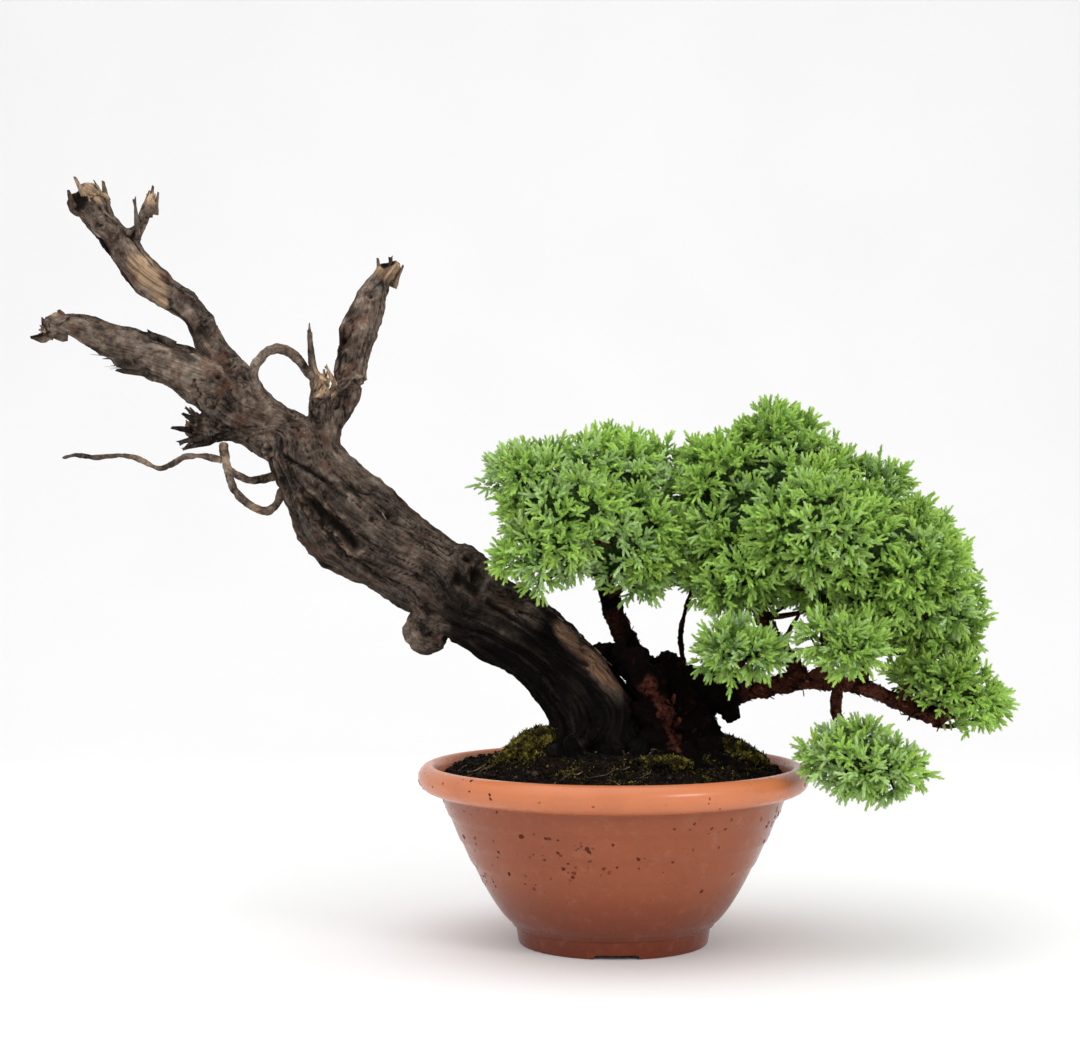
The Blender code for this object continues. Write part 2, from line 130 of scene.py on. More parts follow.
class Finish:
    """A Principled material under construction."""

    def __init__(self, name, **settings):
        self.material = bpy.data.materials.new(name)
        self.material.use_nodes = True
        self.tree = self.material.node_tree
        self.shader = self.tree.nodes["Principled BSDF"]
        for socket, value in settings.items():
            self.shader.inputs[socket.replace("_", " ")].default_value = value

    def feed(self, socket, value):
        if isinstance(value, Wire):
            self.tree.links.new(value.socket, socket)
        elif isinstance(value, tuple) and len(value) == 3 and socket.type == "RGBA":
            socket.default_value = (*value, 1.0)
        else:
            socket.default_value = value

    def node(self, kind, settings=None, sockets=None, output=0):
        made = self.tree.nodes.new(kind)
        for name, value in (settings or {}).items():
            if name == "stops":
                self.set_stops(made.color_ramp, value)
            else:
                setattr(made, name, value)
        for name, value in (sockets or {}).items():
            self.feed(made.inputs[name], value)
        return Wire(self, made.outputs[output])

    def set_stops(self, ramp, stops):
        while len(ramp.elements) < len(stops):
            ramp.elements.new(1.0)
        for element, (position, colour) in zip(ramp.elements, stops):
            element.position = position
            element.color = (*colour, 1.0)

    def paint(self, socket, value):
        self.feed(self.shader.inputs[socket], value)

    def place(self):
        return self.node("ShaderNodeTexCoord", output=3)

    def scaled(self, vector, scale):
        return self.node("ShaderNodeMapping", None, {"Vector": vector, "Scale": scale})

    def attribute(self, name, output=2):
        return self.node("ShaderNodeAttribute", {"attribute_name": name}, output=output)

    def noise(self, vector, size, detail=3.0, roughness=0.55, distortion=0.0):
        sockets = {"Vector": vector, "Scale": 1 / size, "Detail": detail, "Roughness": roughness,
                   "Distortion": distortion}
        return self.node("ShaderNodeTexNoise", None, sockets)

    def cells(self, vector, size, output=0):
        return self.node("ShaderNodeTexVoronoi", None, {"Vector": vector, "Scale": 1 / size}, output)

    def ramp(self, value, stops):
        return self.node("ShaderNodeValToRGB", {"stops": stops}, {0: value})

    def mix(self, factor, first, second):
        return self.node("ShaderNodeMix", {"data_type": "RGBA"}, {0: factor, 6: first, 7: second}, 2)

    def between(self, value, low, high, to_low=0.0, to_high=1.0):
        settings = {"interpolation_type": "SMOOTHSTEP"}
        return self.node("ShaderNodeMapRange", settings, {0: value, 1: low, 2: high, 3: to_low, 4: to_high})

    def bump(self, height, distance, strength):
        sockets = {"Height": height, "Distance": distance, "Strength": strength}
        return self.node("ShaderNodeBump", None, sockets)


# ---------------------------------------------------------------- finishes


def pot_finish(lip_colour, wall_colour, foot_shade_colour):
    """Satin moulded plastic, with painted shade darkening it towards the foot, splashed with watered-in soil."""
    finish = Finish("pot_plastic", Roughness=0.34, Specular_IOR_Level=0.36)
    place = finish.place()
    height = finish.node("ShaderNodeSeparateXYZ", None, {0: place}, 2)
    # Painted shade: the colour falls from the wall's to the darker foot colour over the lowest 40 % of the height,
    # for the shade on the foot and on the lower wall that faces down.
    shade = finish.ramp(finish.between(height, 0, POT_HEIGHT), [
        (0.0, foot_shade_colour), (0.40, wall_colour), (0.925, wall_colour), (0.94, lip_colour), (1.0, lip_colour)])
    # Cloudy stains, mixed towards the same dark colour as the foot's painted shade.
    cloud = finish.noise(place, 60 * MM, 4)
    shade = finish.mix(finish.between(cloud, 0.35, 0.75, 0.0, 0.18), shade, foot_shade_colour)
    worn = finish.noise(place, 9 * MM, 5, 0.7)
    shade = finish.mix(finish.between(worn, 0.5, 0.8, 0.0, 0.14), shade, (0.60, 0.24, 0.13))
    film = finish.noise(place, 18 * MM, 6, 0.7)
    dust = finish.between(film, 0.52, 0.74) * finish.between(height, 0.02, 0.12, 0.10, 0.22)
    shade = finish.mix(dust, shade, (0.30, 0.15, 0.10))
    spread = finish.between(finish.noise(place, 45 * MM, 2), 0.47, 0.60)
    flattened = finish.scaled(place, (1, 1, 1.5))
    spots = finish.between(finish.cells(flattened, 9 * MM), 0.15, 0.09)
    pick = finish.between(finish.cells(flattened, 9 * MM, 1), 0.60, 0.62)
    mud = spots * spread * pick
    shade = finish.mix(mud * 0.9, shade, (0.075, 0.022, 0.012))
    finish.paint("Base Color", shade)
    finish.paint("Roughness", 0.22 + mud * 0.4 + dust * 0.3 + finish.between(cloud, 0.3, 0.7, 0.0, 0.08))
    pores = finish.noise(place, 1.6 * MM, 3)
    finish.paint("Normal", finish.bump(pores * 0.06 + mud * 0.3, 0.8 * MM, 0.7))
    return finish.material


def soil_finish():
    """Dark damp crumb with grey grit and brown peat."""
    finish = Finish("potting_soil", Roughness=0.95, Specular_IOR_Level=0.03)
    place = finish.place()
    broad = finish.noise(place, 22 * MM, 3)
    crumb = finish.noise(place, 3.2 * MM, 5, 0.65)
    shade = finish.ramp(crumb, [
        (0.34, (0.0015, 0.0012, 0.001)), (0.54, (0.008, 0.0065, 0.0055)), (0.70, (0.032, 0.024, 0.019)),
        (0.85, (0.12, 0.10, 0.08))])
    shade = finish.mix(finish.between(broad, 0.45, 0.65, 0.0, 0.5), shade, (0.020, 0.011, 0.007))
    finish.paint("Base Color", shade)
    finish.paint("Roughness", finish.between(broad, 0.3, 0.7, 0.8, 1.0))
    finish.paint("Normal", finish.bump(crumb, 2 * MM, 0.9))
    return finish.material


def grit_finish():
    """Loose granules of soil, bark and pumice, each of its own shade."""
    finish = Finish("soil_granules", Roughness=0.9, Specular_IOR_Level=0.05)
    tone = finish.attribute("tone")
    shade = finish.ramp(tone, [
        (0.0, (0.0015, 0.0012, 0.001)), (0.45, (0.010, 0.0075, 0.0055)), (0.72, (0.038, 0.024, 0.016)),
        (0.88, (0.12, 0.085, 0.06)), (1.0, (0.30, 0.25, 0.20))])
    speck = finish.noise(finish.place(), 0.9 * MM, 3)
    finish.paint("Base Color", finish.mix(finish.between(speck, 0.4, 0.7, 0.0, 0.5), shade, (0.01, 0.008, 0.006)))
    finish.paint("Normal", finish.bump(speck, 0.5 * MM, 0.8))
    return finish.material


def rootlet_finish():
    """Thin dry roots, pale where they are washed clean."""
    finish = Finish("pale_rootlets", Roughness=0.8, Specular_IOR_Level=0.1)
    patch = finish.noise(finish.place(), 6 * MM, 3)
    finish.paint("Base Color", finish.ramp(patch, [
        (0.35, (0.045, 0.028, 0.020)), (0.55, (0.15, 0.105, 0.075)), (0.72, (0.34, 0.27, 0.21))]))
    return finish.material


def moss_finish():
    """Short moss: olive and yellow-green over brown."""
    finish = Finish("moss", Roughness=0.9, Specular_IOR_Level=0.1)
    patch = finish.between(finish.noise(finish.place(), 10 * MM, 4, 0.6), 0.30, 0.70)
    mixed = finish.attribute("tone") * 0.45 + patch * 0.50
    finish.paint("Base Color", finish.ramp(mixed, [
        (0.22, (0.007, 0.0055, 0.003)), (0.42, (0.045, 0.034, 0.010)), (0.60, (0.16, 0.135, 0.022)),
        (0.80, (0.42, 0.38, 0.07))]))
    finish.paint("Normal", finish.bump(finish.noise(finish.place(), 1.2 * MM, 3), 1 * MM, 0.8))
    return finish.material


def deadwood_finish(pale, middle, deep):
    """Weathered wood: long grey-brown grain, painted shade in its fissures and hollows, darker towards the base,
    bleached breaks.
    """
    finish = Finish("weathered_deadwood", Roughness=0.8, Specular_IOR_Level=0.03)
    place = finish.place()
    grain = finish.attribute("grain", 1)
    fine = finish.noise(grain, 1.6 * MM, 4, 0.6, 0.4)
    wide = finish.noise(grain, 8 * MM, 4, 0.6, 0.6)
    patch = finish.noise(place, 24 * MM, 4, 0.6)
    rough = finish.noise(place, 5 * MM, 5, 0.65)
    blend = fine * 0.20 + wide * 0.22 + patch * 0.40 + rough * 0.34
    shade = finish.ramp(blend, [(0.48, deep), (0.56, middle), (0.635, tuple(c * 2.3 for c in middle)),
                                (0.72, pale)])
    rust = finish.between(finish.noise(place, 19 * MM, 3, 0.6), 0.55, 0.68, 0.0, 0.55)
    shade = finish.mix(rust, shade, (0.115, 0.052, 0.034))
    lichen = finish.between(finish.noise(place, 14 * MM, 5, 0.7), 0.56, 0.68, 0.0, 0.55)
    shade = finish.mix(lichen, shade, (0.175, 0.168, 0.148))
    strip = finish.attribute("strip")
    shade = finish.mix(strip * finish.between(wide, 0.35, 0.55, 0.45, 0.95), shade,
                       finish.ramp(fine, [(0.35, (0.085, 0.040, 0.024)), (0.62, (0.25, 0.15, 0.095))]))
    # Darkening: the trunk turns nearly black towards its base and in ragged patches.
    char = finish.attribute("char")
    shade = finish.mix(char * finish.between(wide, 0.66, 0.42, 0.94, 1.0), shade, (0.0024, 0.0020, 0.0020))
    bleach = finish.attribute("bleach") * finish.between(wide, 0.36, 0.52, 0.25, 1.0)
    shade = finish.mix(bleach, shade, finish.ramp(fine, [(0.35, (0.22, 0.135, 0.08)), (0.62, (0.60, 0.42, 0.26))]))
    # Painted shade: fissures, knot holes, gouges and the hollow broken ends are darkened nearly black.
    crack = finish.attribute("crack")
    shade = finish.mix(crack * 0.95, shade, (0.0045, 0.0035, 0.0030))
    finish.paint("Base Color", shade)
    finish.paint("Roughness", finish.between(patch, 0.3, 0.7, 0.68, 0.92))
    finish.paint("Normal", finish.bump(fine * 0.6 + wide * 0.7 + rough * 0.7 - crack * 0.6, 1.2 * MM, 0.9))
    return finish.material


def bark_finish(black, red, pale):
    """Juniper bark: nearly black, peeling in red-brown flakes."""
    finish = Finish("juniper_bark", Roughness=0.85, Specular_IOR_Level=0.03)
    place = finish.place()
    fine = finish.noise(place, 1.8 * MM, 5, 0.65)
    patch = finish.noise(place, 9 * MM, 4, 0.6)
    warm = finish.attribute("warm")
    blend = finish.between(patch * 0.6 + fine * 0.5, 0.40, 0.68)
    shade = finish.mix(blend * warm, black, red)
    flake = finish.between(fine, 0.56, 0.70) * finish.between(patch, 0.42, 0.60) * warm
    shade = finish.mix(flake * 0.7, shade, pale)
    finish.paint("Base Color", shade)
    finish.paint("Normal", finish.bump(fine + patch * 0.6, 1.4 * MM, 0.9))
    return finish.material


def flake_finish():
    """Loose curls of bark, each of its own shade of red-brown."""
    finish = Finish("bark_flakes", Roughness=0.8, Specular_IOR_Level=0.05)
    tone = finish.attribute("tone")
    shade = finish.ramp(tone, [
        (0.0, (0.0030, 0.0022, 0.0020)), (0.35, (0.045, 0.015, 0.010)), (0.75, (0.18, 0.056, 0.035)),
        (1.0, (0.38, 0.18, 0.12))])
    fibre = finish.noise(finish.place(), 1.1 * MM, 4)
    finish.paint("Base Color", finish.mix(finish.between(fibre, 0.35, 0.65, 0.0, 0.5), shade, (0.02, 0.011, 0.009)))
    finish.paint("Normal", finish.bump(fibre, 0.5 * MM, 0.8))
    return finish.material


def needle_finish(young, full, old):
    """Juniper needles: fresh tips, older dark bases, painted shade deep in each clump and over some whole clumps, a
    bluish bloom on some.
    """
    finish = Finish("juniper_needles", Roughness=0.5, Specular_IOR_Level=0.35)
    # The "tip" value is partly real, fresher needles towards a finger's end, and partly painted shade, darker towards
    # a clump's heart.
    tip = finish.attribute("tip")
    tone = finish.attribute("tone")
    place = finish.place()
    # Painted shade: a broad noise darkens some whole clumps, as if they lay in shade.
    clump = finish.noise(place, 34 * MM, 2)
    blend = tip * 0.50 + tone * 0.30 + clump * 0.40
    shade = finish.ramp(blend, [(0.22, old), (0.46, full), (0.68, young), (0.95, tuple(c * 1.35 for c in young))])
    yellow = finish.between(finish.noise(place, 21 * MM, 2), 0.56, 0.68, 0.0, 0.55) * tip
    shade = finish.mix(yellow, shade, (0.38, 0.52, 0.06))
    bloom = finish.between(finish.attribute("bloom"), 0.62, 0.95, 0.0, 0.55)
    shade = finish.mix(bloom * tip, shade, (0.50, 0.64, 0.42))
    finish.paint("Base Color", shade)
    finish.paint("Roughness", 0.42 + bloom * 0.3)
    return finish.material


def core_finish():
    """The shaded inside of a pad: dead brown needles and darkness."""
    finish = Finish("pad_inside", Roughness=1.0, Specular_IOR_Level=0.1)
    speck = finish.noise(finish.place(), 3 * MM, 4, 0.7)
    finish.paint("Base Color", finish.ramp(speck, [
        (0.40, (0.012, 0.026, 0.007)), (0.55, (0.040, 0.085, 0.022)), (0.70, (0.085, 0.075, 0.030))]))
    finish.paint("Normal", finish.bump(speck, 3 * MM, 1.0))
    return finish.material


# ---------------------------------------------------------------- mesh tools


def deselect_all():
    for chosen in list(bpy.context.selected_objects):
        chosen.select_set(False)


def activate(piece):
    deselect_all()
    piece.select_set(True)
    bpy.context.view_layer.objects.active = piece


def active_piece():
    return bpy.context.view_layer.objects.active


def begin_edit():
    """Edit the active piece, with all of it selected."""
    bpy.ops.object.mode_set(mode="EDIT")
    bpy.ops.mesh.select_all(action="SELECT")


def end_edit():
    bpy.ops.object.mode_set(mode="OBJECT")


def fix_transform():
    """Apply the place, turn and size of the selected piece to its mesh."""
    bpy.ops.object.transform_apply(location=True, rotation=True, scale=True)


def apply_modifiers(piece):
    activate(piece)
    for modifier in list(piece.modifiers):
        bpy.ops.object.modifier_apply(modifier=modifier.name)


def new_piece(name, data):
    piece = bpy.data.objects.new(name, data)
    bpy.context.scene.collection.objects.link(piece)
    return piece


def read(items, field, width, kind=np.float32):
    """One field of every item of a mesh, a row for each."""
    flat = np.empty(len(items) * width, kind)
    items.foreach_get(field, flat)
    return flat.reshape(-1, width)


def points_of(piece):
    return read(piece.data.vertices, "co", 3).astype(float)


def move_points(piece, points):
    piece.data.vertices.foreach_set("co", np.ascontiguousarray(points, np.float32).ravel())
    piece.data.update()


def normals_of(piece):
    return read(piece.data.vertices, "normal", 3).astype(float)


def store(piece, name, values):
    """Keep a number or a vector for each vertex, for the finishes to read."""
    values = np.asarray(values, np.float32)
    kind, field = ("FLOAT_VECTOR", "vector") if values.ndim == 2 else ("FLOAT", "value")
    attribute = piece.data.attributes.new(name, kind, "POINT")
    attribute.data.foreach_set(field, np.ascontiguousarray(values).ravel())


def store_all(piece, **fields):
    for name, values in fields.items():
        store(piece, name, values)


def unit(vectors):
    return vectors / np.maximum(np.linalg.norm(vectors, axis=-1, keepdims=True), 1e-9)


def smooth_step(values, low, high):
    share = np.clip((values - low) / (high - low), 0, 1)
    return share * share * (3 - 2 * share)


def noise_field(points, size, seed=0.0):
    """Soft noise between about -1 and 1 at every point, with lumps of a size."""
    scaled = points / size + seed
    return np.array([noise.noise(Vector(point)) for point in scaled])


def fine_copy(node, name, voxel, rounds, lumps=()):
    """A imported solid's copy as an even fine skin, with its facets smoothed away and lumps grown on."""
    piece = new_piece(name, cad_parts[node].data.copy())
    activate(piece)
    begin_edit()
    bpy.ops.mesh.remove_doubles(threshold=0.01 * MM)
    for place, radius in lumps:
        bpy.ops.mesh.primitive_ico_sphere_add(subdivisions=3, radius=radius * MM, location=place)
    end_edit()
    add_remesh(piece, voxel)
    soften = piece.modifiers.new("soften", "SMOOTH")
    soften.factor = 0.5
    soften.iterations = rounds
    apply_modifiers(piece)
    piece.data.materials.clear()
    return piece


def add_remesh(piece, voxel):
    remesh = piece.modifiers.new("even", "REMESH")
    remesh.mode = "VOXEL"
    remesh.voxel_size = voxel


def even_out(piece, voxel):
    """Remesh a reshaped form, so that the folds and stretches it has got are gone."""
    add_remesh(piece, voxel)
    apply_modifiers(piece)


def tree_of(name):
    """A tree of a finished piece's faces, to find its surface with."""
    return BVHTree.FromObject(bpy.data.objects[name], bpy.context.evaluated_depsgraph_get())


def shades_of(settings, *names):
    """Colours kept in the settings, as plain tuples."""
    return [tuple(getattr(settings, name)) for name in names]


def layered(*layers):
    """Noises added up, each given as (points, size of its lumps in millimetres, seed, height)."""
    total = 0
    for points, size, seed, height in layers:
        total = total + noise_field(points, size * MM, seed) * height
    return total


def place_piece(piece, material, replaced=()):
    """Finish a piece: its material, its shading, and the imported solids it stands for."""
    piece.data.materials.clear()
    piece.data.materials.append(material)
    piece.data.shade_smooth()
    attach(piece, "root")
    if replaced:
        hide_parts(*replaced)


def wood_courses(piece, root_height):
    """The wood's own directions at every vertex.

    Returns how far along the wood each vertex lies from the root, the arm from the wood's
    middle out to it, and the direction in which the wood grows there.
    """
    points = points_of(piece)
    edges = read(piece.data.edges, "vertices", 2, np.int32)
    spans = np.linalg.norm(points[edges[:, 0]] - points[edges[:, 1]], axis=1)
    neighbours = [[] for _ in range(len(points))]
    for (first, second), span in zip(edges.tolist(), spans.tolist()):
        neighbours[first].append((second, span))
        neighbours[second].append((first, span))
    along = [math.inf] * len(points)
    heap = []
    for index in np.flatnonzero(points[:, 2] < root_height).tolist():
        along[index] = 0.0
        heappush(heap, (0.0, index))
    while heap:
        reached, index = heappop(heap)
        if reached > along[index]:
            continue
        for other, span in neighbours[index]:
            if reached + span < along[other]:
                along[other] = reached + span
                heappush(heap, (along[other], other))
    along = np.array(along)
    along[~np.isfinite(along)] = 0.0

    rings = (along / RING_WIDTH).astype(int)
    parent = list(range(len(points)))

    def top(index):
        while parent[index] != index:
            parent[index] = parent[parent[index]]
            index = parent[index]
        return index

    for first, second in edges[rings[edges[:, 0]] == rings[edges[:, 1]]].tolist():
        parent[top(first)] = top(second)
    labels = np.unique(np.array([top(index) for index in range(len(points))]), return_inverse=True)[1]
    counts = np.bincount(labels)
    middles = np.stack([np.bincount(labels, points[:, axis]) / counts for axis in range(3)], axis=1)[labels]
    middles = spread_over(middles, edges, 30)

    steps = points[edges[:, 1]] - points[edges[:, 0]]
    rise = (along[edges[:, 1]] - along[edges[:, 0]])[:, None]
    growth = np.zeros_like(points)
    np.add.at(growth, edges[:, 0], steps * rise)
    np.add.at(growth, edges[:, 1], steps * rise)
    growth = unit(spread_over(unit(growth), edges, 8))
    return along, points - middles, growth


def spread_over(values, edges, rounds):
    """Average a value with its neighbours' along the edges, several times."""
    count = len(values)
    degree = np.bincount(edges.ravel(), minlength=count)[:, None] + 1.0
    for _ in range(rounds):
        total = values.copy()
        for axis in range(values.shape[1]):
            total[:, axis] += np.bincount(edges[:, 0], values[edges[:, 1], axis], count)
            total[:, axis] += np.bincount(edges[:, 1], values[edges[:, 0], axis], count)
        values = total / degree
    return values


def frames_along(directions, rolls):
    """Rotation matrices that turn +Z to each direction, rolled about it."""
    directions = unit(directions)
    helper = np.where(np.abs(directions[:, 2:3]) < 0.9, [[0.0, 0.0, 1.0]], [[1.0, 0.0, 0.0]])
    across = unit(np.cross(helper, directions))
    other = np.cross(directions, across)
    cosine, sine = np.cos(rolls)[:, None], np.sin(rolls)[:, None]
    first = across * cosine + other * sine
    second = -across * sine + other * cosine
    return np.stack([first, second, directions], axis=2)


class Stamp:
    """A small modelled shape, kept as arrays, that is copied many times into one mesh."""

    def __init__(self, piece):
        bpy.context.view_layer.update()
        self.points = points_of(piece)
        piece.data.calc_loop_triangles()
        self.triangles = read(piece.data.loop_triangles, "vertices", 3, np.int32)
        bpy.data.objects.remove(piece, do_unlink=True)


def stamped(name, stamps, choices, places, turns, sizes, values):
    """One piece made of many copies of a few stamps, with a value for each copy per attribute."""
    all_points, all_triangles, reach, owners = [], [], [], []
    offset = 0
    for kind, stamp in enumerate(stamps):
        chosen = np.flatnonzero(choices == kind)
        if not len(chosen):
            continue
        scaled = stamp.points[None] * sizes[chosen][:, None]
        copies = np.einsum("nij,nvj->nvi", turns[chosen], scaled) + places[chosen][:, None]
        count = len(stamp.points)
        starts = offset + np.arange(len(chosen))[:, None, None] * count
        all_points.append(copies.reshape(-1, 3))
        all_triangles.append((stamp.triangles[None] + starts).reshape(-1, 3))
        reach.append(np.tile(stamp.points[:, 2] / stamp.points[:, 2].max(), len(chosen)))
        owners.append(np.repeat(chosen, count))
        offset += len(chosen) * count
    points, triangles = np.concatenate(all_points), np.concatenate(all_triangles)
    mesh = bpy.data.meshes.new(name)
    mesh.vertices.add(len(points))
    mesh.vertices.foreach_set("co", points.astype(np.float32).ravel())
    mesh.loops.add(triangles.size)
    mesh.loops.foreach_set("vertex_index", triangles.astype(np.int32).ravel())
    mesh.polygons.add(len(triangles))
    mesh.polygons.foreach_set("loop_start", np.arange(0, triangles.size, 3, dtype=np.int32))
    mesh.update(calc_edges=True)
    piece = new_piece(name, mesh)
    owners = np.concatenate(owners)
    for attribute, numbers in values.items():
        store(piece, attribute, numbers[owners])
    return piece, np.concatenate(reach), owners


def strands(name, runs):
    """One mesh of many thin tapering strands, each a list of (point, radius)."""
    curve = bpy.data.curves.new(name, "CURVE")
    curve.dimensions = "3D"
    curve.bevel_depth = 1.0
    curve.bevel_resolution = 1
    curve.use_fill_caps = True
    for run in runs:
        spline = curve.splines.new("POLY")
        spline.points.add(len(run) - 1)
        for point, (place, radius) in zip(spline.points, run):
            point.co = (*place, 1.0)
            point.radius = radius
    activate(new_piece(name, curve))
    bpy.ops.object.convert(target="MESH")
    piece = active_piece()
    begin_edit()
    bpy.ops.mesh.remove_doubles(threshold=0.005 * MM)
    end_edit()
    return piece


def surface_samples(node, spacing, generator, weigh=None):
    """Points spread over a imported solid's surface, at least a spacing apart, with their normals."""
    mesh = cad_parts[node].data
    mesh.calc_loop_triangles()
    corners = np.array([vertex.co for vertex in mesh.vertices], float)
    triangles = np.array([triangle.vertices for triangle in mesh.loop_triangles])
    first, second, third = (corners[triangles[:, corner]] for corner in range(3))
    cross = np.cross(second - first, third - first)
    area = np.linalg.norm(cross, axis=1) / 2
    normals = unit(cross)
    weights = area * (weigh(normals) if weigh else 1.0)
    count = int(5 * area.sum() / spacing ** 2)
    picks = generator.choice(len(area), count, p=weights / weights.sum())
    one, two = generator.random(count), generator.random(count)
    flip = one + two > 1
    one[flip], two[flip] = 1 - one[flip], 1 - two[flip]
    places = first[picks] + one[:, None] * (second - first)[picks] + two[:, None] * (third - first)[picks]
    grid, kept = {}, []
    for index, place in enumerate(places):
        cell = tuple((place // spacing).astype(int))
        around = [grid.get((cell[0] + x, cell[1] + y, cell[2] + z)) for x in (-1, 0, 1)
                  for y in (-1, 0, 1) for z in (-1, 0, 1)]
        if all(other is None or np.linalg.norm(places[other] - place) > spacing for other in around):
            grid[cell] = index
            kept.append(index)
    return places[kept], normals[picks][kept]


# ---------------------------------------------------------------- bowl


def lip_profile():
    """The rolled lip from under its hem, over its crest, to the inner wall, as (radius, height)."""
    steps = ((17, 22.6), (12, 21.4), (8, 20), (5, 18.6), (2.7, 16.8), (1.1, 14.6), (0.3, 12), (0, 9.2), (0.5, 6.4),
             (1.9, 3.9), (4.2, 1.5), (6.9, 0.2), (9.2, 0), (11, 0.9), (12.3, 2.9), (13.2, 6), (14.4, 10))
    return [(RIM_RADIUS - inward * MM, POT_HEIGHT - down * MM) for inward, down in steps]


def wall_profile():
    """The bowl's outer wall from its foot ring up to its lip, with two faint moulded steps."""
    foot = [(67 * MM, 6 * MM), (66.5 * MM, 1 * MM), (67.2 * MM, 0.2 * MM), (71.2 * MM, 0), (72.4 * MM, 0.4 * MM),
            (73 * MM, 1.6 * MM), (74.6 * MM, 11 * MM), (75.4 * MM, 13.2 * MM), (77.6 * MM, 14.6 * MM)]
    low, high = 14.6 * MM, POT_HEIGHT - 23.6 * MM
    wall = []
    for step in range(1, 49):
        share = step / 48
        height = low + (high - low) * share
        radius = 77.6 * MM + (RIM_RADIUS - 17.6 * MM - 77.6 * MM) * share ** 0.66
        for edge in (62 * MM, 79 * MM, 98 * MM):
            radius -= 1.1 * MM * (1 - smooth_step(np.array(height), edge - 1.2 * MM, edge + 0.6 * MM))
        wall.append((float(radius), height))
    return foot, wall


def make_bowl(settings):
    """The bowl, drawn up ring by ring from its foot, with its notches and drain holes cut."""
    foot, wall = wall_profile()
    thick = settings.wall
    inside = [(radius - thick, height) for radius, height in reversed(wall[::4])]
    inside = [point for point in inside if point[1] > 14 * MM]
    profile = foot + wall + lip_profile() + inside + [(60 * MM, 9 * MM), (20 * MM, 9 * MM)]
    deselect_all()
    bpy.ops.mesh.primitive_circle_add(vertices=settings.segments, radius=profile[0][0],
                                      location=(AXIS.x, AXIS.y, profile[0][1]))
    bowl = active_piece()
    bowl.name = "bowl"
    begin_edit()
    for (radius, height), (next_radius, next_height) in zip(profile, profile[1:]):
        bpy.ops.mesh.extrude_edges_move(TRANSFORM_OT_translate={"value": (0, 0, next_height - height)})
        share = next_radius / radius
        bpy.ops.transform.resize(value=(share, share, 1), center_override=(AXIS.x, AXIS.y, next_height))
    bpy.ops.mesh.select_all(action="SELECT")
    bpy.ops.mesh.fill_holes(sides=0)
    bpy.ops.mesh.normals_make_consistent(inside=False)
    end_edit()
    fix_transform()
    for index in range(3):
        angle = math.radians(-90 + 120 * index)
        place = AXIS + Vector((math.cos(angle), math.sin(angle), 0)) * 71 * MM
        bpy.ops.mesh.primitive_cube_add(size=1, location=place, rotation=(0, 0, angle))
        cutter = active_piece()
        cutter.scale = (22 * MM, 34 * MM, 7 * MM)
        soften = cutter.modifiers.new("soften", "BEVEL")
        bpy.ops.object.transform_apply(location=False, rotation=False, scale=True)
        soften.width = 3 * MM
        soften.segments = 4
        cut_with(bowl, cutter)
    for index in range(4):
        angle = math.radians(45 + 90 * index)
        place = AXIS + Vector((math.cos(angle) * 42 * MM, math.sin(angle) * 42 * MM, 6 * MM))
        bpy.ops.mesh.primitive_cylinder_add(vertices=32, radius=6 * MM, depth=18 * MM, location=place)
        cut_with(bowl, active_piece())
    colours = shades_of(settings, "lip_colour", "wall_colour", "foot_shade_colour")
    place_piece(bowl, pot_finish(*colours), ["pot"])
    activate(bowl)
    bpy.ops.object.shade_smooth_by_angle(angle=math.radians(35))


def cut_with(body, cutter):
    """Cut one shape out of another and throw the cutter away."""
    boolean = body.modifiers.new("cut", "BOOLEAN")
    boolean.object = cutter
    boolean.solver = "EXACT"
    apply_modifiers(body)
    bpy.data.objects.remove(cutter, do_unlink=True)


def pebble_stamp(seed, flatness):
    """A small rough lump."""
    deselect_all()
    bpy.ops.mesh.primitive_ico_sphere_add(subdivisions=1, radius=1)
    lump = active_piece()
    points = points_of(lump)
    points *= 1 + 0.35 * noise_field(points, 0.8, seed)[:, None]
    points[:, 2] *= flatness
    move_points(lump, points)
    return Stamp(lump)


def make_splashes(settings):
    """Crumbs of soil stuck on the bowl's lip and wall, in the loose groups that watering leaves."""
    generator = np.random.default_rng(settings.seed)
    tree = tree_of("bowl")
    places, normals = [], []
    for _ in range(settings.groups):
        turn, height = generator.uniform(0, 2 * math.pi), generator.uniform(45, 134) * MM
        for _ in range(generator.integers(2, 9)):
            angle = turn + generator.normal(0, 0.09)
            level = height + generator.normal(0, 6 * MM)
            outward = Vector((math.cos(angle), math.sin(angle), 0))
            start = AXIS + outward * BEYOND_BOWL + UP * level
            hit, normal, _, _ = tree.ray_cast(start, -outward)
            if hit is not None and level < POT_HEIGHT and (hit - AXIS).xy.length > FOOT_RADIUS:
                places.append(hit)
                normals.append(normal)
    count = len(places)
    sizes = generator.uniform(0.5, 1.6, (count, 1)) * MM * generator.uniform(0.8, 1.5, (count, 3))
    sizes[:, 2] = sizes[:, :2].min(axis=1) * 0.35
    turns = frames_along(np.array(normals), generator.uniform(0, ROLL, count))
    stamps = [pebble_stamp(seed, 0.8) for seed in range(3)]
    tones = {"tone": generator.uniform(0, 1, count)}
    piece, _, _ = stamped("soil_splashes", stamps, generator.integers(0, 3, count), np.array(places), turns,
                          sizes, tones)
    crumbs = Finish("splashed_crumbs", Roughness=0.8, Specular_IOR_Level=0.1)
    crumbs.paint("Base Color", crumbs.ramp(crumbs.attribute("tone"), [
        (0.0, (0.050, 0.013, 0.006)), (0.6, (0.120, 0.030, 0.013)), (1.0, (0.22, 0.070, 0.035))]))
    place_piece(piece, crumbs.material)


# ---------------------------------------------------------------- soil and moss


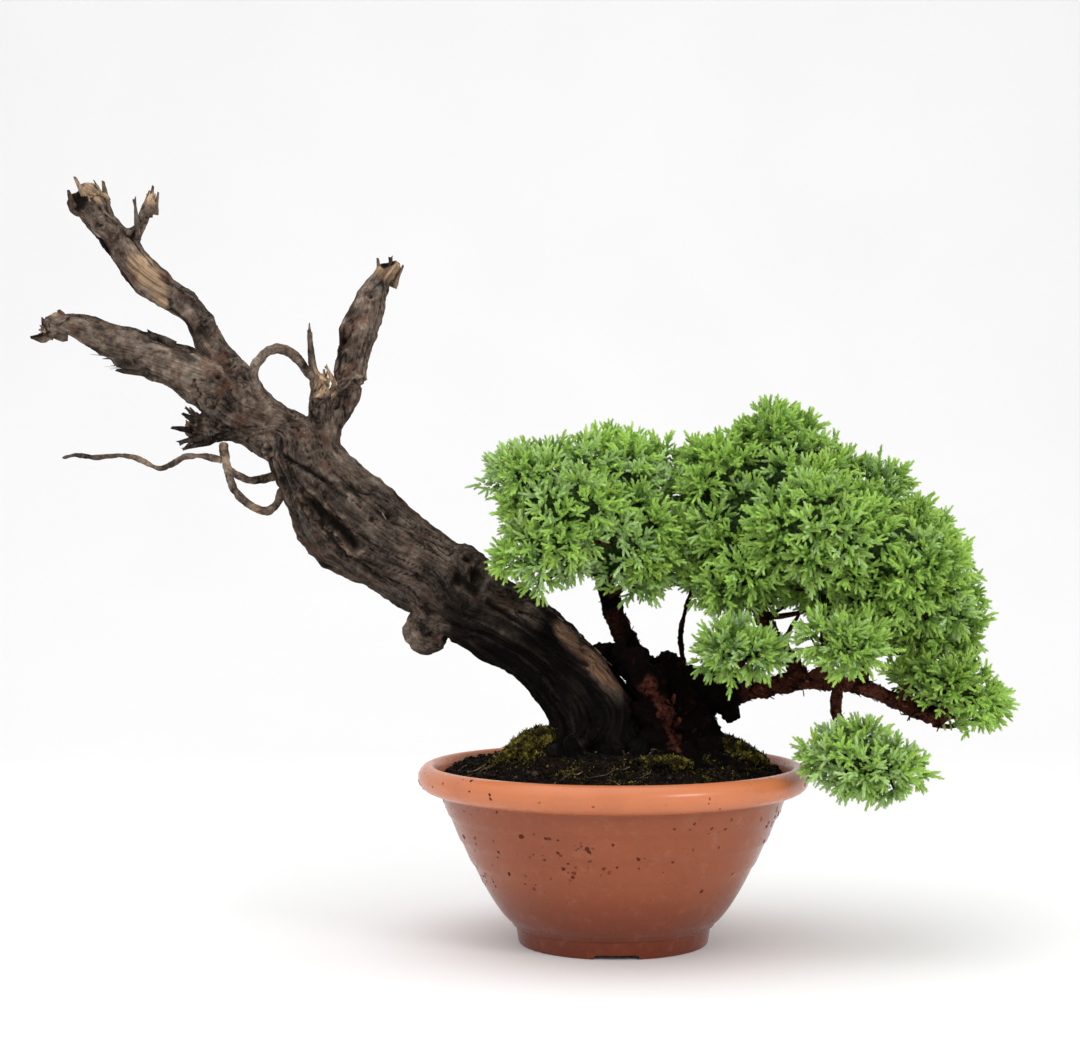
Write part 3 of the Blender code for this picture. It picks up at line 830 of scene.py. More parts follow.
MOUNDS = ((-66, -14, 26, 9), (-52, -30, 20, 7), (92, -2, 24, 9), (74, -34, 20, 6), (10, -62, 26, 5), (56, 34, 30, 7),
          (-60, 30, 26, 6))


def drop_on(tree, x, y):
    """The point on the soil's top under a place, and its normal, or None in a trunk's socket."""
    hit, normal, _, _ = tree.ray_cast(Vector((x, y, ABOVE_ALL)), -UP)
    if hit is None or hit.z < SOIL_TOP_LOWEST:
        return None
    return hit, normal


def make_soil(settings):
    """The soil's crumbly top, with loose granules, chips and thin roots lying on it."""
    ground = fine_copy("soil", "soil_ground", 2.8 * MM, 2)
    points, normals = points_of(ground), normals_of(ground)
    top = smooth_step(normals[:, 2], 0.2, 0.7) * (points[:, 2] > 0.1)
    crumbs = layered((points, 11, 0, 2.2), (points, 4.5, 7, 1.4), (points, 2.4, 3, 0.9))
    edge = RIM_RADIUS - 19 * MM
    radial = np.hypot(points[:, 0] - AXIS.x, points[:, 1] - AXIS.y)
    room = 1 - smooth_step(radial, edge - 4 * MM, edge)
    lift = top * crumbs * room * MM
    lift += top * smooth_step(points[:, 1], -20 * MM, 70 * MM) * 5 * MM
    for x, y, size, rise in MOUNDS:
        gap = np.hypot(points[:, 0] - AXIS.x - x * MM, points[:, 1] - y * MM) / (size * MM)
        lift += top * room * np.exp(-gap ** 2) * rise * MM
    move_points(ground, points + np.array((0, 0, 1)) * lift[:, None])
    place_piece(ground, soil_finish(), ["soil"])

    generator = np.random.default_rng(settings.seed)
    tree = tree_of("soil_ground")
    material = grit_finish()
    places, normals = [], []
    reach = RIM_RADIUS - 17 * MM
    while len(places) < settings.granules:
        x, y = generator.uniform(-reach, reach, 2)
        if math.hypot(x, y) > reach - 2 * MM:
            continue
        found = drop_on(tree, AXIS.x + x, AXIS.y + y)
        if found:
            places.append(found[0] + UP * generator.uniform(-0.3, 1.3) * MM)
            normals.append(found[1])
    count = len(places)
    base = generator.lognormal(0.05, 0.45, (count, 1)).clip(0.35, 3.2) * MM
    sizes = base * generator.uniform(0.6, 1.25, (count, 3))
    leans = np.array(normals) + generator.normal(0, 0.5, (count, 3))
    turns = frames_along(leans, generator.uniform(0, ROLL, count))
    stamps = [pebble_stamp(seed + 10, 0.7) for seed in range(4)]
    grit, _, _ = stamped("soil_grit", stamps, generator.integers(0, 4, count), np.array(places), turns, sizes,
                         {"tone": generator.beta(1.5, 3.0, count)})
    place_piece(grit, material)
    make_rootlets(settings, tree, generator)


def make_rootlets(settings, tree, generator):
    """Fine pale roots and straws that wander over the soil."""
    runs = []
    while len(runs) < settings.rootlets:
        angle, distance = generator.uniform(0, 2 * math.pi), generator.uniform(40, 122) * MM
        place = Vector((AXIS.x + distance * math.cos(angle), AXIS.y + distance * math.sin(angle), 0))
        heading = generator.uniform(0, 2 * math.pi)
        bend = generator.normal(0, 0.16)
        thick = generator.uniform(0.20, 0.60) * MM
        run, steps = [], generator.integers(6, 22)
        arch = generator.uniform(0.1, 2.4) * MM
        for step in range(steps):
            found = drop_on(tree, place.x, place.y)
            if not found or (place.xy - AXIS.xy).length > RIM_RADIUS - 19 * MM:
                break
            share = step / (steps - 1)
            lift = 0.6 * MM + arch * math.sin(math.pi * share) ** 2
            run.append((found[0] + UP * lift, thick * (1 - 0.75 * share)))
            heading += bend + generator.normal(0, 0.22)
            place += Vector((math.cos(heading), math.sin(heading), 0)) * 2.4 * MM
        if len(run) > 4:
            runs.append(run)
    roots = strands("soil_rootlets", runs)
    place_piece(roots, rootlet_finish())


def leaning(tilt, turn):
    """A direction that leans from +Z by a tilt, turned about it."""
    return Vector((math.sin(tilt) * math.cos(turn), math.sin(tilt) * math.sin(turn), math.cos(tilt)))


def add_spike(place, direction, radius, length):
    """Add a pointed leaf to the shape that is being edited."""
    bpy.ops.mesh.primitive_cone_add(vertices=3, radius1=radius, radius2=0, depth=length, location=place,
                                    rotation=direction.to_track_quat("Z", "Y").to_euler())


def shoot_stamp(leaves, spread, seed):
    """A tiny moss shoot: a few pointed leaves around a stem."""
    generator = np.random.default_rng(seed)
    deselect_all()
    bpy.ops.mesh.primitive_cone_add(vertices=3, radius1=0.10, radius2=0, depth=1, location=(0, 0, 0.5))
    shoot = active_piece()
    begin_edit()
    for index in range(leaves):
        turn = 2.4 * index
        lean = spread * generator.uniform(0.7, 1.2)
        level = 0.15 + 0.7 * index / leaves
        direction = leaning(lean, turn)
        add_spike(Vector((0, 0, level)) + direction * 0.22, direction, 0.13, 0.5)
    end_edit()
    return Stamp(shoot)


def make_moss(settings):
    """Cushions of moss and the stray shoots around them."""
    generator = np.random.default_rng(settings.seed + 5)
    material = moss_finish()
    tree = tree_of("soil_ground")
    places, normals, lengths, shades = [], [], [], []
    for node, (slope, paleness) in MOSSES.items():
        low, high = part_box(node)
        cushion = fine_copy(node, node + "_cushion", 1.6 * MM, 2)
        points = points_of(cushion)
        lift = layered((points, 9, 0, 3.6), (points, 3, 4, 1.2)) - 2.2
        moved = points + normals_of(cushion) * lift[:, None] * MM
        moved[:, 2] += (points[:, 0] - (low.x + high.x) / 2) * slope
        move_points(cushion, moved)
        store(cushion, "tone", noise_field(points, 5 * MM, 9) * 0.4 + 0.30 + paleness)
        place_piece(cushion, material, [node])
        spots, facing = surface_samples(node, 1.5 * MM, generator)
        up = facing[:, 2] > -0.75
        spots[:, 2] += (spots[:, 0] - (low.x + high.x) / 2) * slope
        places.extend(spots[up])
        normals.extend(facing[up])
        lengths.extend(generator.gamma(4.0, 0.85, up.sum()).clip(1.0, 8.0) * MM)
        shades.extend(generator.beta(2.2, 2.2, up.sum()) + paleness)
    patches = ((-74, 10, 30), (-92, -22, 24), (-66, -26, 22), (96, -6, 36), (84, 30, 24), (74, -34, 26),
               (60, -58, 24), (6, -78, 22), (-30, -66, 16), (112, 34, 18))
    for x, y, size in patches:
        for _ in range(int(size * 12)):
            found = drop_on(tree, AXIS.x + (x + generator.normal(0, size * 0.5)) * MM,
                            AXIS.y + (y + generator.normal(0, size * 0.5)) * MM)
            if found and (found[0].xy - AXIS.xy).length < RIM_RADIUS - 20 * MM:
                places.append(np.array(found[0]))
                normals.append(np.array(found[1]))
                lengths.append(generator.uniform(1.2, 3.4) * MM)
                shades.append(generator.beta(2.0, 3.0))
    count = len(places)
    lengths = np.array(lengths)
    sizes = np.stack([lengths * 1.1, lengths * 1.1, lengths], axis=1)
    leans = np.array(normals) * 0.7 + np.array((0, 0, 0.6)) + generator.normal(0, 0.28, (count, 3))
    turns = frames_along(leans, generator.uniform(0, ROLL, count))
    stamps = [shoot_stamp(6, 0.8, 1), shoot_stamp(7, 1.0, 2), shoot_stamp(5, 0.6, 3)]
    shoots, _, _ = stamped("moss_shoots", stamps, generator.integers(0, 3, count), np.array(places), turns,
                           sizes, {"tone": np.array(shades)})
    place_piece(shoots, material)


# ---------------------------------------------------------------- dead wood


def from_axis(x, y, z):
    """A place given in millimetres from the bowl's axis."""
    return np.array((AXIS.x + x * MM, AXIS.y + y * MM, z * MM))


def placed(*rows):
    """Places and their sizes, from rows of (x, y, z, size) in millimetres from the bowl's axis."""
    return [(from_axis(*row[:3]), row[3]) for row in rows]


DEAD_TIPS = (
    (from_axis(-401, 17, 582), 12, (-0.50, -0.1, 1.0), 3, 12, 5.0),
    (from_axis(-361, 26, 580), 9, (0.12, 0.0, 1.0), 2, 10, 2.6),
    (from_axis(-430, -35, 465), 5, (-1.0, 0.0, 0.10), 4, 8, 4.0),
    (from_axis(-423, -34, 478), 4, (-0.6, 0.0, 1.0), 2, 6, 2.5),
    (from_axis(-176, 38, 523), 12, (0.45, 0.1, 1.0), 5, 9, 6.0),
    (from_axis(-220, -18, 433), 12, (0.1, -0.1, 1.0), 5, 11, 4.0),
    (from_axis(-322, -18, 395), 5, (-1.0, -0.3, 0.1), 20, 12, 6.0),
)
SLIVERS = (
    ((-404, 12, 564), (-416, 10, 588), 8, 0.7), ((-397, 16, 564), (-405, 16, 585), 7, 0.4),
    ((-392, 20, 558), (-397, 20, 586), 8, 0.6), ((-418, 10, 566), (-422, 10, 579), 7, -0.3),
    ((-371, 24, 544), (-373, 24, 575), 5.5, -0.2), ((-363, 26, 562), (-360, 26, 584), 6, -0.1),
    ((-358, 27, 564), (-356, 27, 580), 5, 0.2), ((-181, 36, 510), (-184, 35, 529), 7, 0.1),
    ((-176, 36, 510), (-173, 35, 531), 7, -0.2), ((-172, 37, 508), (-165, 37, 524), 7, 0.2),
    ((-413, -36, 467), (-431, -38, 470), 9, -0.1), ((-412, -36, 462), (-429, -38, 462), 8, -0.3),
    ((-410, -34, 470), (-418, -36, 481), 9, 0.1), ((-307, -18, 391), (-333, -24, 394), 8, -0.7),
    ((-307, -18, 389), (-330, -24, 384), 8, -0.6), ((-307, -16, 393), (-326, -22, 404), 8, -0.7),
    ((-303, -16, 395), (-317, -18, 405), 8, -0.6), ((-305, -16, 386), (-326, -22, 377), 7, -0.7),
    ((-333, -28, 456), (-352, -28, 467), 8, -0.7), ((-346, -28, 461), (-363, -28, 467), 7, -0.6),
    ((-352, -32, 435), (-374, -32, 437), 8, -0.6), ((-212, -22, 426), (-218, -24, 441), 5, 0.6),
)
BITES = (
    (from_axis(-416, 6, 574), 8.5, (0.45, 0.45, -0.70)),
    (from_axis(-433, -38, 467), 5.5, (0.9, 0.3, -0.2)),
    (from_axis(-177, 32, 529), 5.5, (-0.35, 0.1, -0.9)),
    (from_axis(-219, -22, 440), 4.5, (0.0, 0.2, -0.95)),
)
KNOTS = (
    ((-111, 294), 3.2, 4.2), ((-104, 283), 6.0, 6.0), ((-170, 329), 3, 2.2), ((-183, 325), 2.4, 2.0),
    ((-316, 480), 2.2, 2.0), ((-188, 499), 2.4, 1.8), ((-210, 463), 2.6, 2.0), ((-217, 434), 3.2, 2.2),
    ((-150, 282), 2.6, 2.0), ((-128, 232), 3.2, 2.4), ((-262, 378), 2.8, 2.0), ((-300, 432), 2.6, 1.8),
)
GOUGES = (
    ((-230, 338), (-197, 305), 4.2, 6.5), ((-224, 322), (-205, 300), 2.2, 4.0), ((-96, 262), (-20, 214), 2.0, 3.0),
    ((-250, 372), (-214, 352), 2.0, 3.0), ((-118, 280), (-104, 272), 5.0, 6.0),
)
DEAD_LUMPS = placed(
    (-46, -14, 155, 13), (-52, -18, 146, 15), (-62, -14, 138, 14), (-70, -22, 132, 11), (-44, -30, 144, 13),
    (-30, -34, 152, 10), (-4, -38, 146, 11), (18, -40, 150, 10), (-16, -40, 160, 7), (-48, -12, 144, 17),
    (-38, -24, 140, 16), (-52, 8, 138, 14), (-27, -36, 137, 14), (-8, -42, 135, 13), (12, -46, 133, 13),
    (-414, 16, 571, 9), (-399, 20, 573, 9.5), (-404, 20, 566, 11), (-395, 20, 554, 12), (-361, 26, 570, 4.5),
    (-424, -34, 470, 8), (-432, -36, 463, 5), (-180, 38, 517, 8.5), (-184, 36, 508, 9), (-222, -16, 424, 7),
    (-312, -14, 397, 9), (-318, 18, 474, 8), (-352, -22, 458, 8), (-374, -24, 449, 9), (-330, -18, 444, 13),
    (-421, -34, 476, 5), (-196, 30, 470, 11), (-178, 38, 520, 9.5), (-172, 38, 524, 6.5),
)
SWELLINGS = (
    ((-207, 22, 440), 9.5, (-199, 26, 472), 13.5), ((-199, 26, 472), 13.5, (-191, 32, 498), 12.0),
    ((-191, 32, 498), 12.0, (-182, 36, 516), 8.5), ((-399, 26, 560), 10.5, (-386, 31, 539), 13.0),
    ((-386, 31, 539), 13.0, (-370, 34, 518), 12.8), ((-370, 34, 518), 12.8, (-347, 33, 498), 11.0),
)
LIVE_LUMPS = placed(
    (4, -6, 225, 7), (12, -10, 217, 9), (17, -8, 213, 12), (27, -10, 198, 15), (29, -15, 176, 15), (29, -18, 155, 15),
    (34, -26, 143, 13), (52, -32, 141, 14), (70, -20, 143, 15), (84, 0, 143, 13), (32, -46, 134, 13),
    (58, -46, 133, 12), (78, -36, 134, 12), (66, 14, 143, 15), (98, 12, 138, 9), (86, -4, 190, 10), (90, 4, 178, 8),
    (96, -4, 196, 9),
)
BLEACHED_SPOTS = (((-370, 524), 11), ((-363, 514), 12), ((-355, 504), 10), ((-222, 425), 9), ((-352, 496), 7))
UNDER_KNOB = from_axis(-150, -24, 236)
BARE_STRIP = (from_axis(-34, -20, 246), from_axis(26, -32, 178), 13)


def distance_to_line(points, start, end):
    """Distance of each point from a straight stretch."""
    span = end - start
    share = np.clip(((points - start) @ span) / (span @ span), 0, 1)
    return np.linalg.norm(points - start - share[:, None] * span, axis=1)


def seen_gap(points, place):
    """Distance of each point from a place, as it is seen from the front."""
    return np.hypot(points[:, 0] - place[0], points[:, 2] - place[2])


def bell(values, middle, width):
    """A bump of height 1 around a middle value."""
    return np.exp(-((values - middle) / width) ** 2)


def carve_wood(piece, root_height):
    """Flute, crack and roughen a wooden skin along its own grain, and note its colours."""
    points = points_of(piece)
    along, arms, growth = wood_courses(piece, root_height)
    stout = np.clip(np.linalg.norm(arms, axis=1) / (15 * MM), 0.2, 1.0)
    grain = arms + GRAIN_LEAN * (along * 0.07)[:, None]
    flow = arms + GRAIN_LEAN * (along * 0.16)[:, None]
    lift = layered((flow, 15, 0, 3.4), (points, 26, 3, 3.4), (flow, 6, 9, 1.5), (points, 9, 5, 1.3),
                   (grain, 2.6, 2, 0.35), (points, 4, 25, 0.6))
    lift *= 1 - 0.5 * smooth_step(-points[:, 2], -0.22, -0.16)
    seam = np.abs(noise_field(grain, 8 * MM, 14))
    zone = smooth_step(noise_field(points, 42 * MM, 8), -0.25, 0.25)
    # The crack mask both sinks the fissures and marks them for painted shade in the finish.
    crack = (1 - smooth_step(seam, 0.0, 0.10)) * zone
    split = 1 - smooth_step(np.abs(noise_field(grain, 15 * MM, 31)), 0.0, 0.05)
    crack = np.maximum(crack, split)
    lift -= crack * 1.8
    return points, arms, growth, grain, lift * stout * MM, crack


def bite(piece, place, radius, inward):
    """Press the skin inside a ball onto the ball's far side, as a broken hollow end."""
    points = points_of(piece)
    inward = unit(np.array(inward, float))
    away = points - place
    reach = radius * MM * (1 + 0.25 * noise_field(points, 4 * MM, 2))
    inside = (away ** 2).sum(axis=1) < reach ** 2
    course = away[inside] @ inward
    span = np.sqrt(np.maximum(reach[inside] ** 2 - (away[inside] ** 2).sum(axis=1) + course ** 2, 0)) - course
    points[inside] += span[:, None] * inward
    move_points(piece, points)


def press_features(points, normals, lift, crack):
    """The knots' rings and holes, and the rotten gouge of the big trunk, with their hollows marked for painted shade.
    """
    front = smooth_step(-normals[:, 1], 0.0, 0.4)
    wobble = 1 + 0.25 * noise_field(points, 5 * MM, 21)
    for (x, z), size, depth in KNOTS:
        flat = seen_gap(points, from_axis(x, 0, z)) / (size * MM * wobble)
        lift += front * (bell(flat, 1.7, 0.5) * 0.6 - bell(flat, 0, 1) * 1.5) * depth * MM
        crack = np.maximum(crack, front * np.exp(-(flat / 0.9) ** 4))
        crack = np.maximum(crack, 0.5 * front * bell(flat, 2.3, 0.25))
    side = points * np.array((1, 0, 1))
    rim = np.zeros(len(points))
    for start, end, size, depth in GOUGES:
        begin, finish = from_axis(start[0], 0, start[1]), from_axis(end[0], 0, end[1])
        begin[1] = finish[1] = 0
        away = distance_to_line(side, begin, finish) / (size * MM) / (1 + 0.5 * noise_field(points, 5 * MM, 27))
        lift += front * (bell(away, 1.9, 0.6) * 0.45 - bell(away, 0, 1)) * depth * MM
        crack = np.maximum(crack, front * np.exp(-(away / 0.9) ** 4))
        rim = np.maximum(rim, front * bell(away, 1.7, 0.35) * (2.1 < size < 4.5))
    distance = np.linalg.norm(points - UNDER_KNOB, axis=1) / MM
    lift += noise_field(points, 5 * MM, 40) * np.exp(-(distance / 18) ** 4) * 2.0 * MM
    return lift, crack, rim


def make_deadwood(settings):
    """The dead trunk with its limbs: grain, cracks, knobs, darkening towards the base and torn ends."""
    swollen = list(DEAD_LUMPS)
    for start, first, end, last in SWELLINGS:
        for step in range(9):
            share = step / 8
            swollen.append((from_axis(*start) * (1 - share) + from_axis(*end) * share,
                            first * (1 - share) + last * share))
    trunk = fine_copy("deadwood_trunk", "deadwood", settings.voxel, 6, swollen)
    for place, size, inward in BITES:
        bite(trunk, place, size, inward)
    even_out(trunk, settings.voxel)
    points, arms, growth, grain, lift, crack = carve_wood(trunk, 0.10)
    normals = normals_of(trunk)
    lift, crack, rim = press_features(points, normals, lift, crack)
    moved = points + normals * lift[:, None]
    bleach = rim * smooth_step(noise_field(points, 6 * MM, 44), -0.2, 0.3) * 0.35
    for place, reach, _, _, _, _ in DEAD_TIPS:
        distance = np.linalg.norm(points - place, axis=1) / MM
        bleach = np.maximum(bleach, 1 - smooth_step(distance, reach * 0.5, reach * 1.4))
        close = 1 - smooth_step(distance, 5, 14)
        prongs = noise_field(unit(arms), 0.6, 6) * 6 + noise_field(arms, 1.8 * MM, 12) * 2.5
        moved += growth * (close * prongs * MM)[:, None]
    for place, size, _ in BITES:
        distance = np.linalg.norm(points - place, axis=1) / MM
        deep = 1 - smooth_step(distance, size * 1.02, size * 1.35)
        # The hollow of a broken end is marked for painted shade.
        crack = np.maximum(crack, deep)
        bleach *= 1 - 0.9 * deep
    for (x, z), reach in BLEACHED_SPOTS:
        distance = seen_gap(points, from_axis(x, 0, z)) / MM
        distance += noise_field(grain, 5 * MM, 4) * 6
        spot = smooth_step(-normals[:, 1], 0.0, 0.4) * (1 - smooth_step(distance, reach * 0.4, reach))
        bleach = np.maximum(bleach, 0.85 * spot)
    move_points(trunk, moved)
    # The wood darkens in two steps towards the base and in ragged patches, less so under the knob.
    ragged = noise_field(points, 20 * MM, 17)
    level = -points[:, 2] + ragged * 0.025
    char = 0.40 * smooth_step(level, -0.46, -0.34) + 0.60 * smooth_step(level, -0.295, -0.225)
    char = np.maximum(char, 0.75 * smooth_step(ragged + noise_field(grain, 12 * MM, 3), 0.35, 0.8))
    knob = np.linalg.norm(points - UNDER_KNOB, axis=1) / MM
    char *= 0.25 + 0.75 * smooth_step(knob, 16, 30)
    gap = distance_to_line(points, BARE_STRIP[0], BARE_STRIP[1]) / MM
    strip = 1 - smooth_step(gap + ragged * 6, BARE_STRIP[2] * 0.6, BARE_STRIP[2] * 1.25)
    store_all(trunk, grain=grain, crack=crack, bleach=bleach, char=char * (1 - 0.9 * strip) * (1 - bleach),
              strip=strip)
    material = deadwood_finish(*shades_of(settings, "pale", "middle", "deep"))
    place_piece(trunk, material, ["deadwood_trunk"])
    for node in DEAD_TWIGS:
        twig = fine_copy(node, node + "_wood", 0.8 * MM, 8)
        points, arms, _, _, _, crack = carve_wood(twig, 0.0)
        rise = layered((points, 7, 4, 0.9), (points, 3, 8, 0.5))
        move_points(twig, points + normals_of(twig) * (rise * MM)[:, None])
        plain = np.zeros(len(points))
        store_all(twig, grain=arms + GRAIN_LEAN * (points @ GRAIN_LEAN * 0.12)[:, None], crack=crack * 0.3,
                  bleach=smooth_step(noise_field(points, 15 * MM, 2), 0.1, 0.5) * 0.35, char=plain, strip=plain)
        place_piece(twig, material, [node])


def slice_across(*heights):
    """Cut the active piece across at each height, so that it can bend there."""
    begin_edit()
    for height in heights:
        bpy.ops.mesh.bisect(plane_co=(0, 0, height), plane_no=(0, 0, 1))
        bpy.ops.mesh.select_all(action="SELECT")
    end_edit()
    fix_transform()


def shard_stamp(bend, seed):
    """A torn splinter: a flat tapering shard with a bend in it."""
    deselect_all()
    bpy.ops.mesh.primitive_cone_add(vertices=7, radius1=0.5, radius2=0.16, depth=1, location=(0, 0, 0.5))
    shard = active_piece()
    slice_across(0.2, 0.4, 0.6, 0.8)
    points = points_of(shard)
    points[:, 0] += bend * points[:, 2] ** 2 + 0.22 * noise_field(points, 0.3, seed)
    points[:, 1] = points[:, 1] * 0.5 + 0.14 * noise_field(points, 0.3, seed + 3)
    points[:, 2] += 0.22 * smooth_step(points[:, 2], 0.7, 1.0) * noise_field(points, 0.12, seed + 6)
    move_points(shard, points)
    return Stamp(shard)


def make_splinters(settings):
    """Torn fibres at the broken ends, and loose shards along the limbs."""
    generator = np.random.default_rng(settings.seed)
    places, directions, sizes, bleach = [], [], [], []
    for place, _, heading, count, length, ring in DEAD_TIPS:
        heading = unit(np.array(heading, float))
        rosette = count > 12
        for _ in range(count):
            spread = generator.normal(0, 1, 3)
            spread = unit(spread - heading * (spread @ heading))
            offset = spread * ring * generator.uniform(0.75, 1.0) * MM
            places.append(place + offset - heading * generator.uniform(5, 9) * MM)
            directions.append(heading + spread * (1.1 if rosette else 0.18) + generator.normal(0, 0.08, 3))
            long = generator.uniform(0.7, 1.3) * length * MM
            wide = generator.uniform(0.45, 0.8) * min(ring + 1.5, 6.5) * MM
            sizes.append((wide, wide, long))
            bleach.append(-generator.uniform(0.2, 0.6) if rosette else generator.uniform(0.1, 0.8))
    normals = [generator.normal(0, 1, 3) for _ in places]
    for base, tip, wide, paleness in SLIVERS:
        course = from_axis(*tip) - from_axis(*base)
        long = np.linalg.norm(course)
        places.append(from_axis(*base))
        directions.append(course / long)
        normals.append(generator.normal(0, 0.35, 3) - np.array((0, 1, 0)))
        sizes.append((wide * MM, wide * MM, long * 1.06))
        bleach.append(paleness)
    tree = tree_of("deadwood")
    shelves = (((-372, -20, 470), (-335, -16, 462), 9, 9), ((-395, -28, 440), (-370, -24, 436), 5, 8),
               ((-200, -30, 300), (-120, -20, 240), 9, 4), ((-60, -10, 262), (10, -6, 216), 12, 6),
               ((-230, -30, 400), (-170, -34, 330), 8, 5), ((-320, 10, 480), (-260, 4, 420), 8, 5))
    for start, end, count, length in shelves:
        for _ in range(count):
            share = generator.uniform(0, 1)
            target = from_axis(*start) * (1 - share) + from_axis(*end) * share
            near, normal, _, _ = tree.find_nearest(Vector(target))
            course = unit(from_axis(*start) - from_axis(*end))
            places.append(np.array(near) - course * 2 * MM)
            directions.append(course + np.array(normal) * generator.uniform(0.05, 0.35))
            long = generator.uniform(0.6, 1.4) * length * MM
            sizes.append((generator.uniform(1.0, 2.4) * MM, generator.uniform(0.8, 1.4) * MM, long))
            bleach.append(generator.uniform(0, 0.35))
            normals.append(generator.normal(0, 1, 3))
    count = len(places)
    stamps = [shard_stamp(0.15, 2), shard_stamp(-0.22, 5), shard_stamp(0.05, 9)]
    turns = frames_facing(np.array(directions), np.array(normals))
    bleach = np.array(bleach)
    values = {"bleach": np.maximum(bleach, 0), "char": np.maximum(-bleach, 0), "strip": np.zeros(count),
              "crack": generator.uniform(0, 0.3, count)}
    piece, _, _ = stamped("torn_splinters", stamps, generator.integers(0, 3, count), np.array(places), turns,
                          np.array(sizes), values)
    store(piece, "grain", points_of(piece) * np.array((1, 1, 0.12)))
    place_piece(piece, bpy.data.objects["deadwood"].active_material)


# ---------------------------------------------------------------- living wood


RED_PATCHES = placed((27, -20, 196, 8), (35, -22, 186, 6), (40, -22, 177, 6.5), (44, -24, 167, 7.5),
                     (45, -24, 156, 7))


def make_live_wood(settings):
    """The living trunk and its branches: knobbly, nearly black, flaking red-brown."""
    trunk = fine_copy("live_trunk", "live_trunk_wood", 1.5 * MM, 3, LIVE_LUMPS)
    points = points_of(trunk)
    lift = noise_field(points, 17 * MM, 2) * 4.6 + noise_field(points, 8 * MM, 5) * 4.0
    lift += np.abs(noise_field(points, 4 * MM, 8)) * 3.6 + noise_field(points, 2.4 * MM, 11) * 1.0
    buried = smooth_step(points[:, 2], 0.105, 0.135)
    move_points(trunk, points + normals_of(trunk) * (lift * buried * MM)[:, None])
    warm = 0.02 + 0.12 * smooth_step(noise_field(points, 9 * MM, 13), 0.3, 0.6)
    for place, reach in RED_PATCHES:
        distance = seen_gap(points, place) / MM + noise_field(points, 5 * MM, 3) * 4
        warm = np.maximum(warm, (points[:, 1] < 0) * 0.9 * (1 - smooth_step(distance, reach * 0.6, reach * 1.1)))
    warm = np.maximum(warm, smooth_step(points[:, 0], from_axis(92, 0, 0)[0], from_axis(108, 0, 0)[0]) * 0.9)
    store(trunk, "warm", warm)
    material = bark_finish(*shades_of(settings, "black", "red", "flake"))
    place_piece(trunk, material, ["live_trunk"])
    for node in BRANCHES:
        slim = node in ("twig_upright", "stem_hanging", "branchlet_front", "branchlet_middle")
        branch = fine_copy(node, node + "_wood", (0.7 if slim else 1.0) * MM, 6)
        points = points_of(branch)
        vigour = 0.45 if slim else 1.0
        lift = noise_field(points, 8 * MM, 2) * 1.9 + np.abs(noise_field(points, 3.4 * MM, 6)) * 2.0
        lift += noise_field(points, 1.8 * MM, 9) * 0.5
        move_points(branch, points + normals_of(branch) * (lift * vigour * MM)[:, None])
        dark = 0.12 if node in ("stem_left", "twig_upright") else 0.85
        store(branch, "warm", dark + 0.35 * noise_field(points, 14 * MM, 4))
        place_piece(branch, material, [node])


def flake_stamp(curl, seed):
    """A curl of bark: a thin plate, narrow at its ends, bowed away from the wood."""
    deselect_all()
    bpy.ops.mesh.primitive_cube_add(size=1, location=(0, 0, 0.5))
    flake = active_piece()
    slice_across(0.33, 0.66)
    points = points_of(flake)
    points[:, 0] *= 0.45 + 0.55 * np.sin(np.pi * np.clip(points[:, 2], 0.06, 0.94))
    points[:, 0] += 0.18 * noise_field(points, 0.5, seed)
    points[:, 1] = points[:, 1] * 0.16 + curl * (points[:, 2] ** 2) + 0.10 * noise_field(points, 0.6, seed + 4)
    move_points(flake, points)
    return Stamp(flake)


def make_flakes(settings):
    """Peeling bark on the branches and in the red patches of the trunk."""
    generator = np.random.default_rng(settings.seed + 2)
    places, directions, normals, tones, sizes = [], [], [], [], []
    for node in BRANCHES + ("live_trunk",):
        spacing = 5.5 * MM if node == "live_trunk" else 4.0 * MM
        spots, facing = surface_samples(node, spacing, generator)
        low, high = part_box(node)
        course = unit(np.array(high - low))
        for spot, outward in zip(spots, facing):
            patch = spot[1] < 0 and any(math.hypot(spot[0] - place[0], spot[2] - place[2]) < reach * MM
                                        for place, reach in RED_PATCHES)
            if node == "live_trunk" and not patch and generator.random() > 0.3:
                continue
            if spot[2] < BARK_LOWEST:
                continue
            heading = course - outward * (course @ outward) + generator.normal(0, 0.35, 3)
            places.append(spot - outward * 0.3 * MM)
            directions.append(heading + outward * generator.uniform(0.0, 0.25))
            normals.append(outward)
            slim = 0.8 if node in ("branch_right", "branch_centre", "branch_crown", "live_trunk") else 0.5
            long = generator.uniform(3.0, 8.0) * MM * slim * (2.1 if patch else 1)
            sizes.append((long * generator.uniform(0.25, 0.5), long * 0.35, long))
            dark = node == "live_trunk" and not patch
            stem = node in ("stem_left", "twig_upright")
            tones.append(generator.uniform(0, 0.06) if dark else generator.beta(1.6, 5.0 if stem else 1.8))
    turns = frames_facing(np.array(directions), np.array(normals))
    count = len(places)
    stamps = [flake_stamp(0.5, 1), flake_stamp(0.9, 4), flake_stamp(0.2, 8)]
    piece, _, _ = stamped("bark_flakes", stamps, generator.integers(0, 3, count), np.array(places), turns,
                          np.array(sizes), {"tone": np.array(tones)})
    place_piece(piece, flake_finish())


def frames_facing(directions, normals):
    """Rotation matrices with +Z along each direction and +Y as near as can be to each normal."""
    directions = unit(directions)
    across = unit(np.cross(normals, directions))
    return np.stack([across, np.cross(directions, across), directions], axis=2)


# ---------------------------------------------------------------- foliage


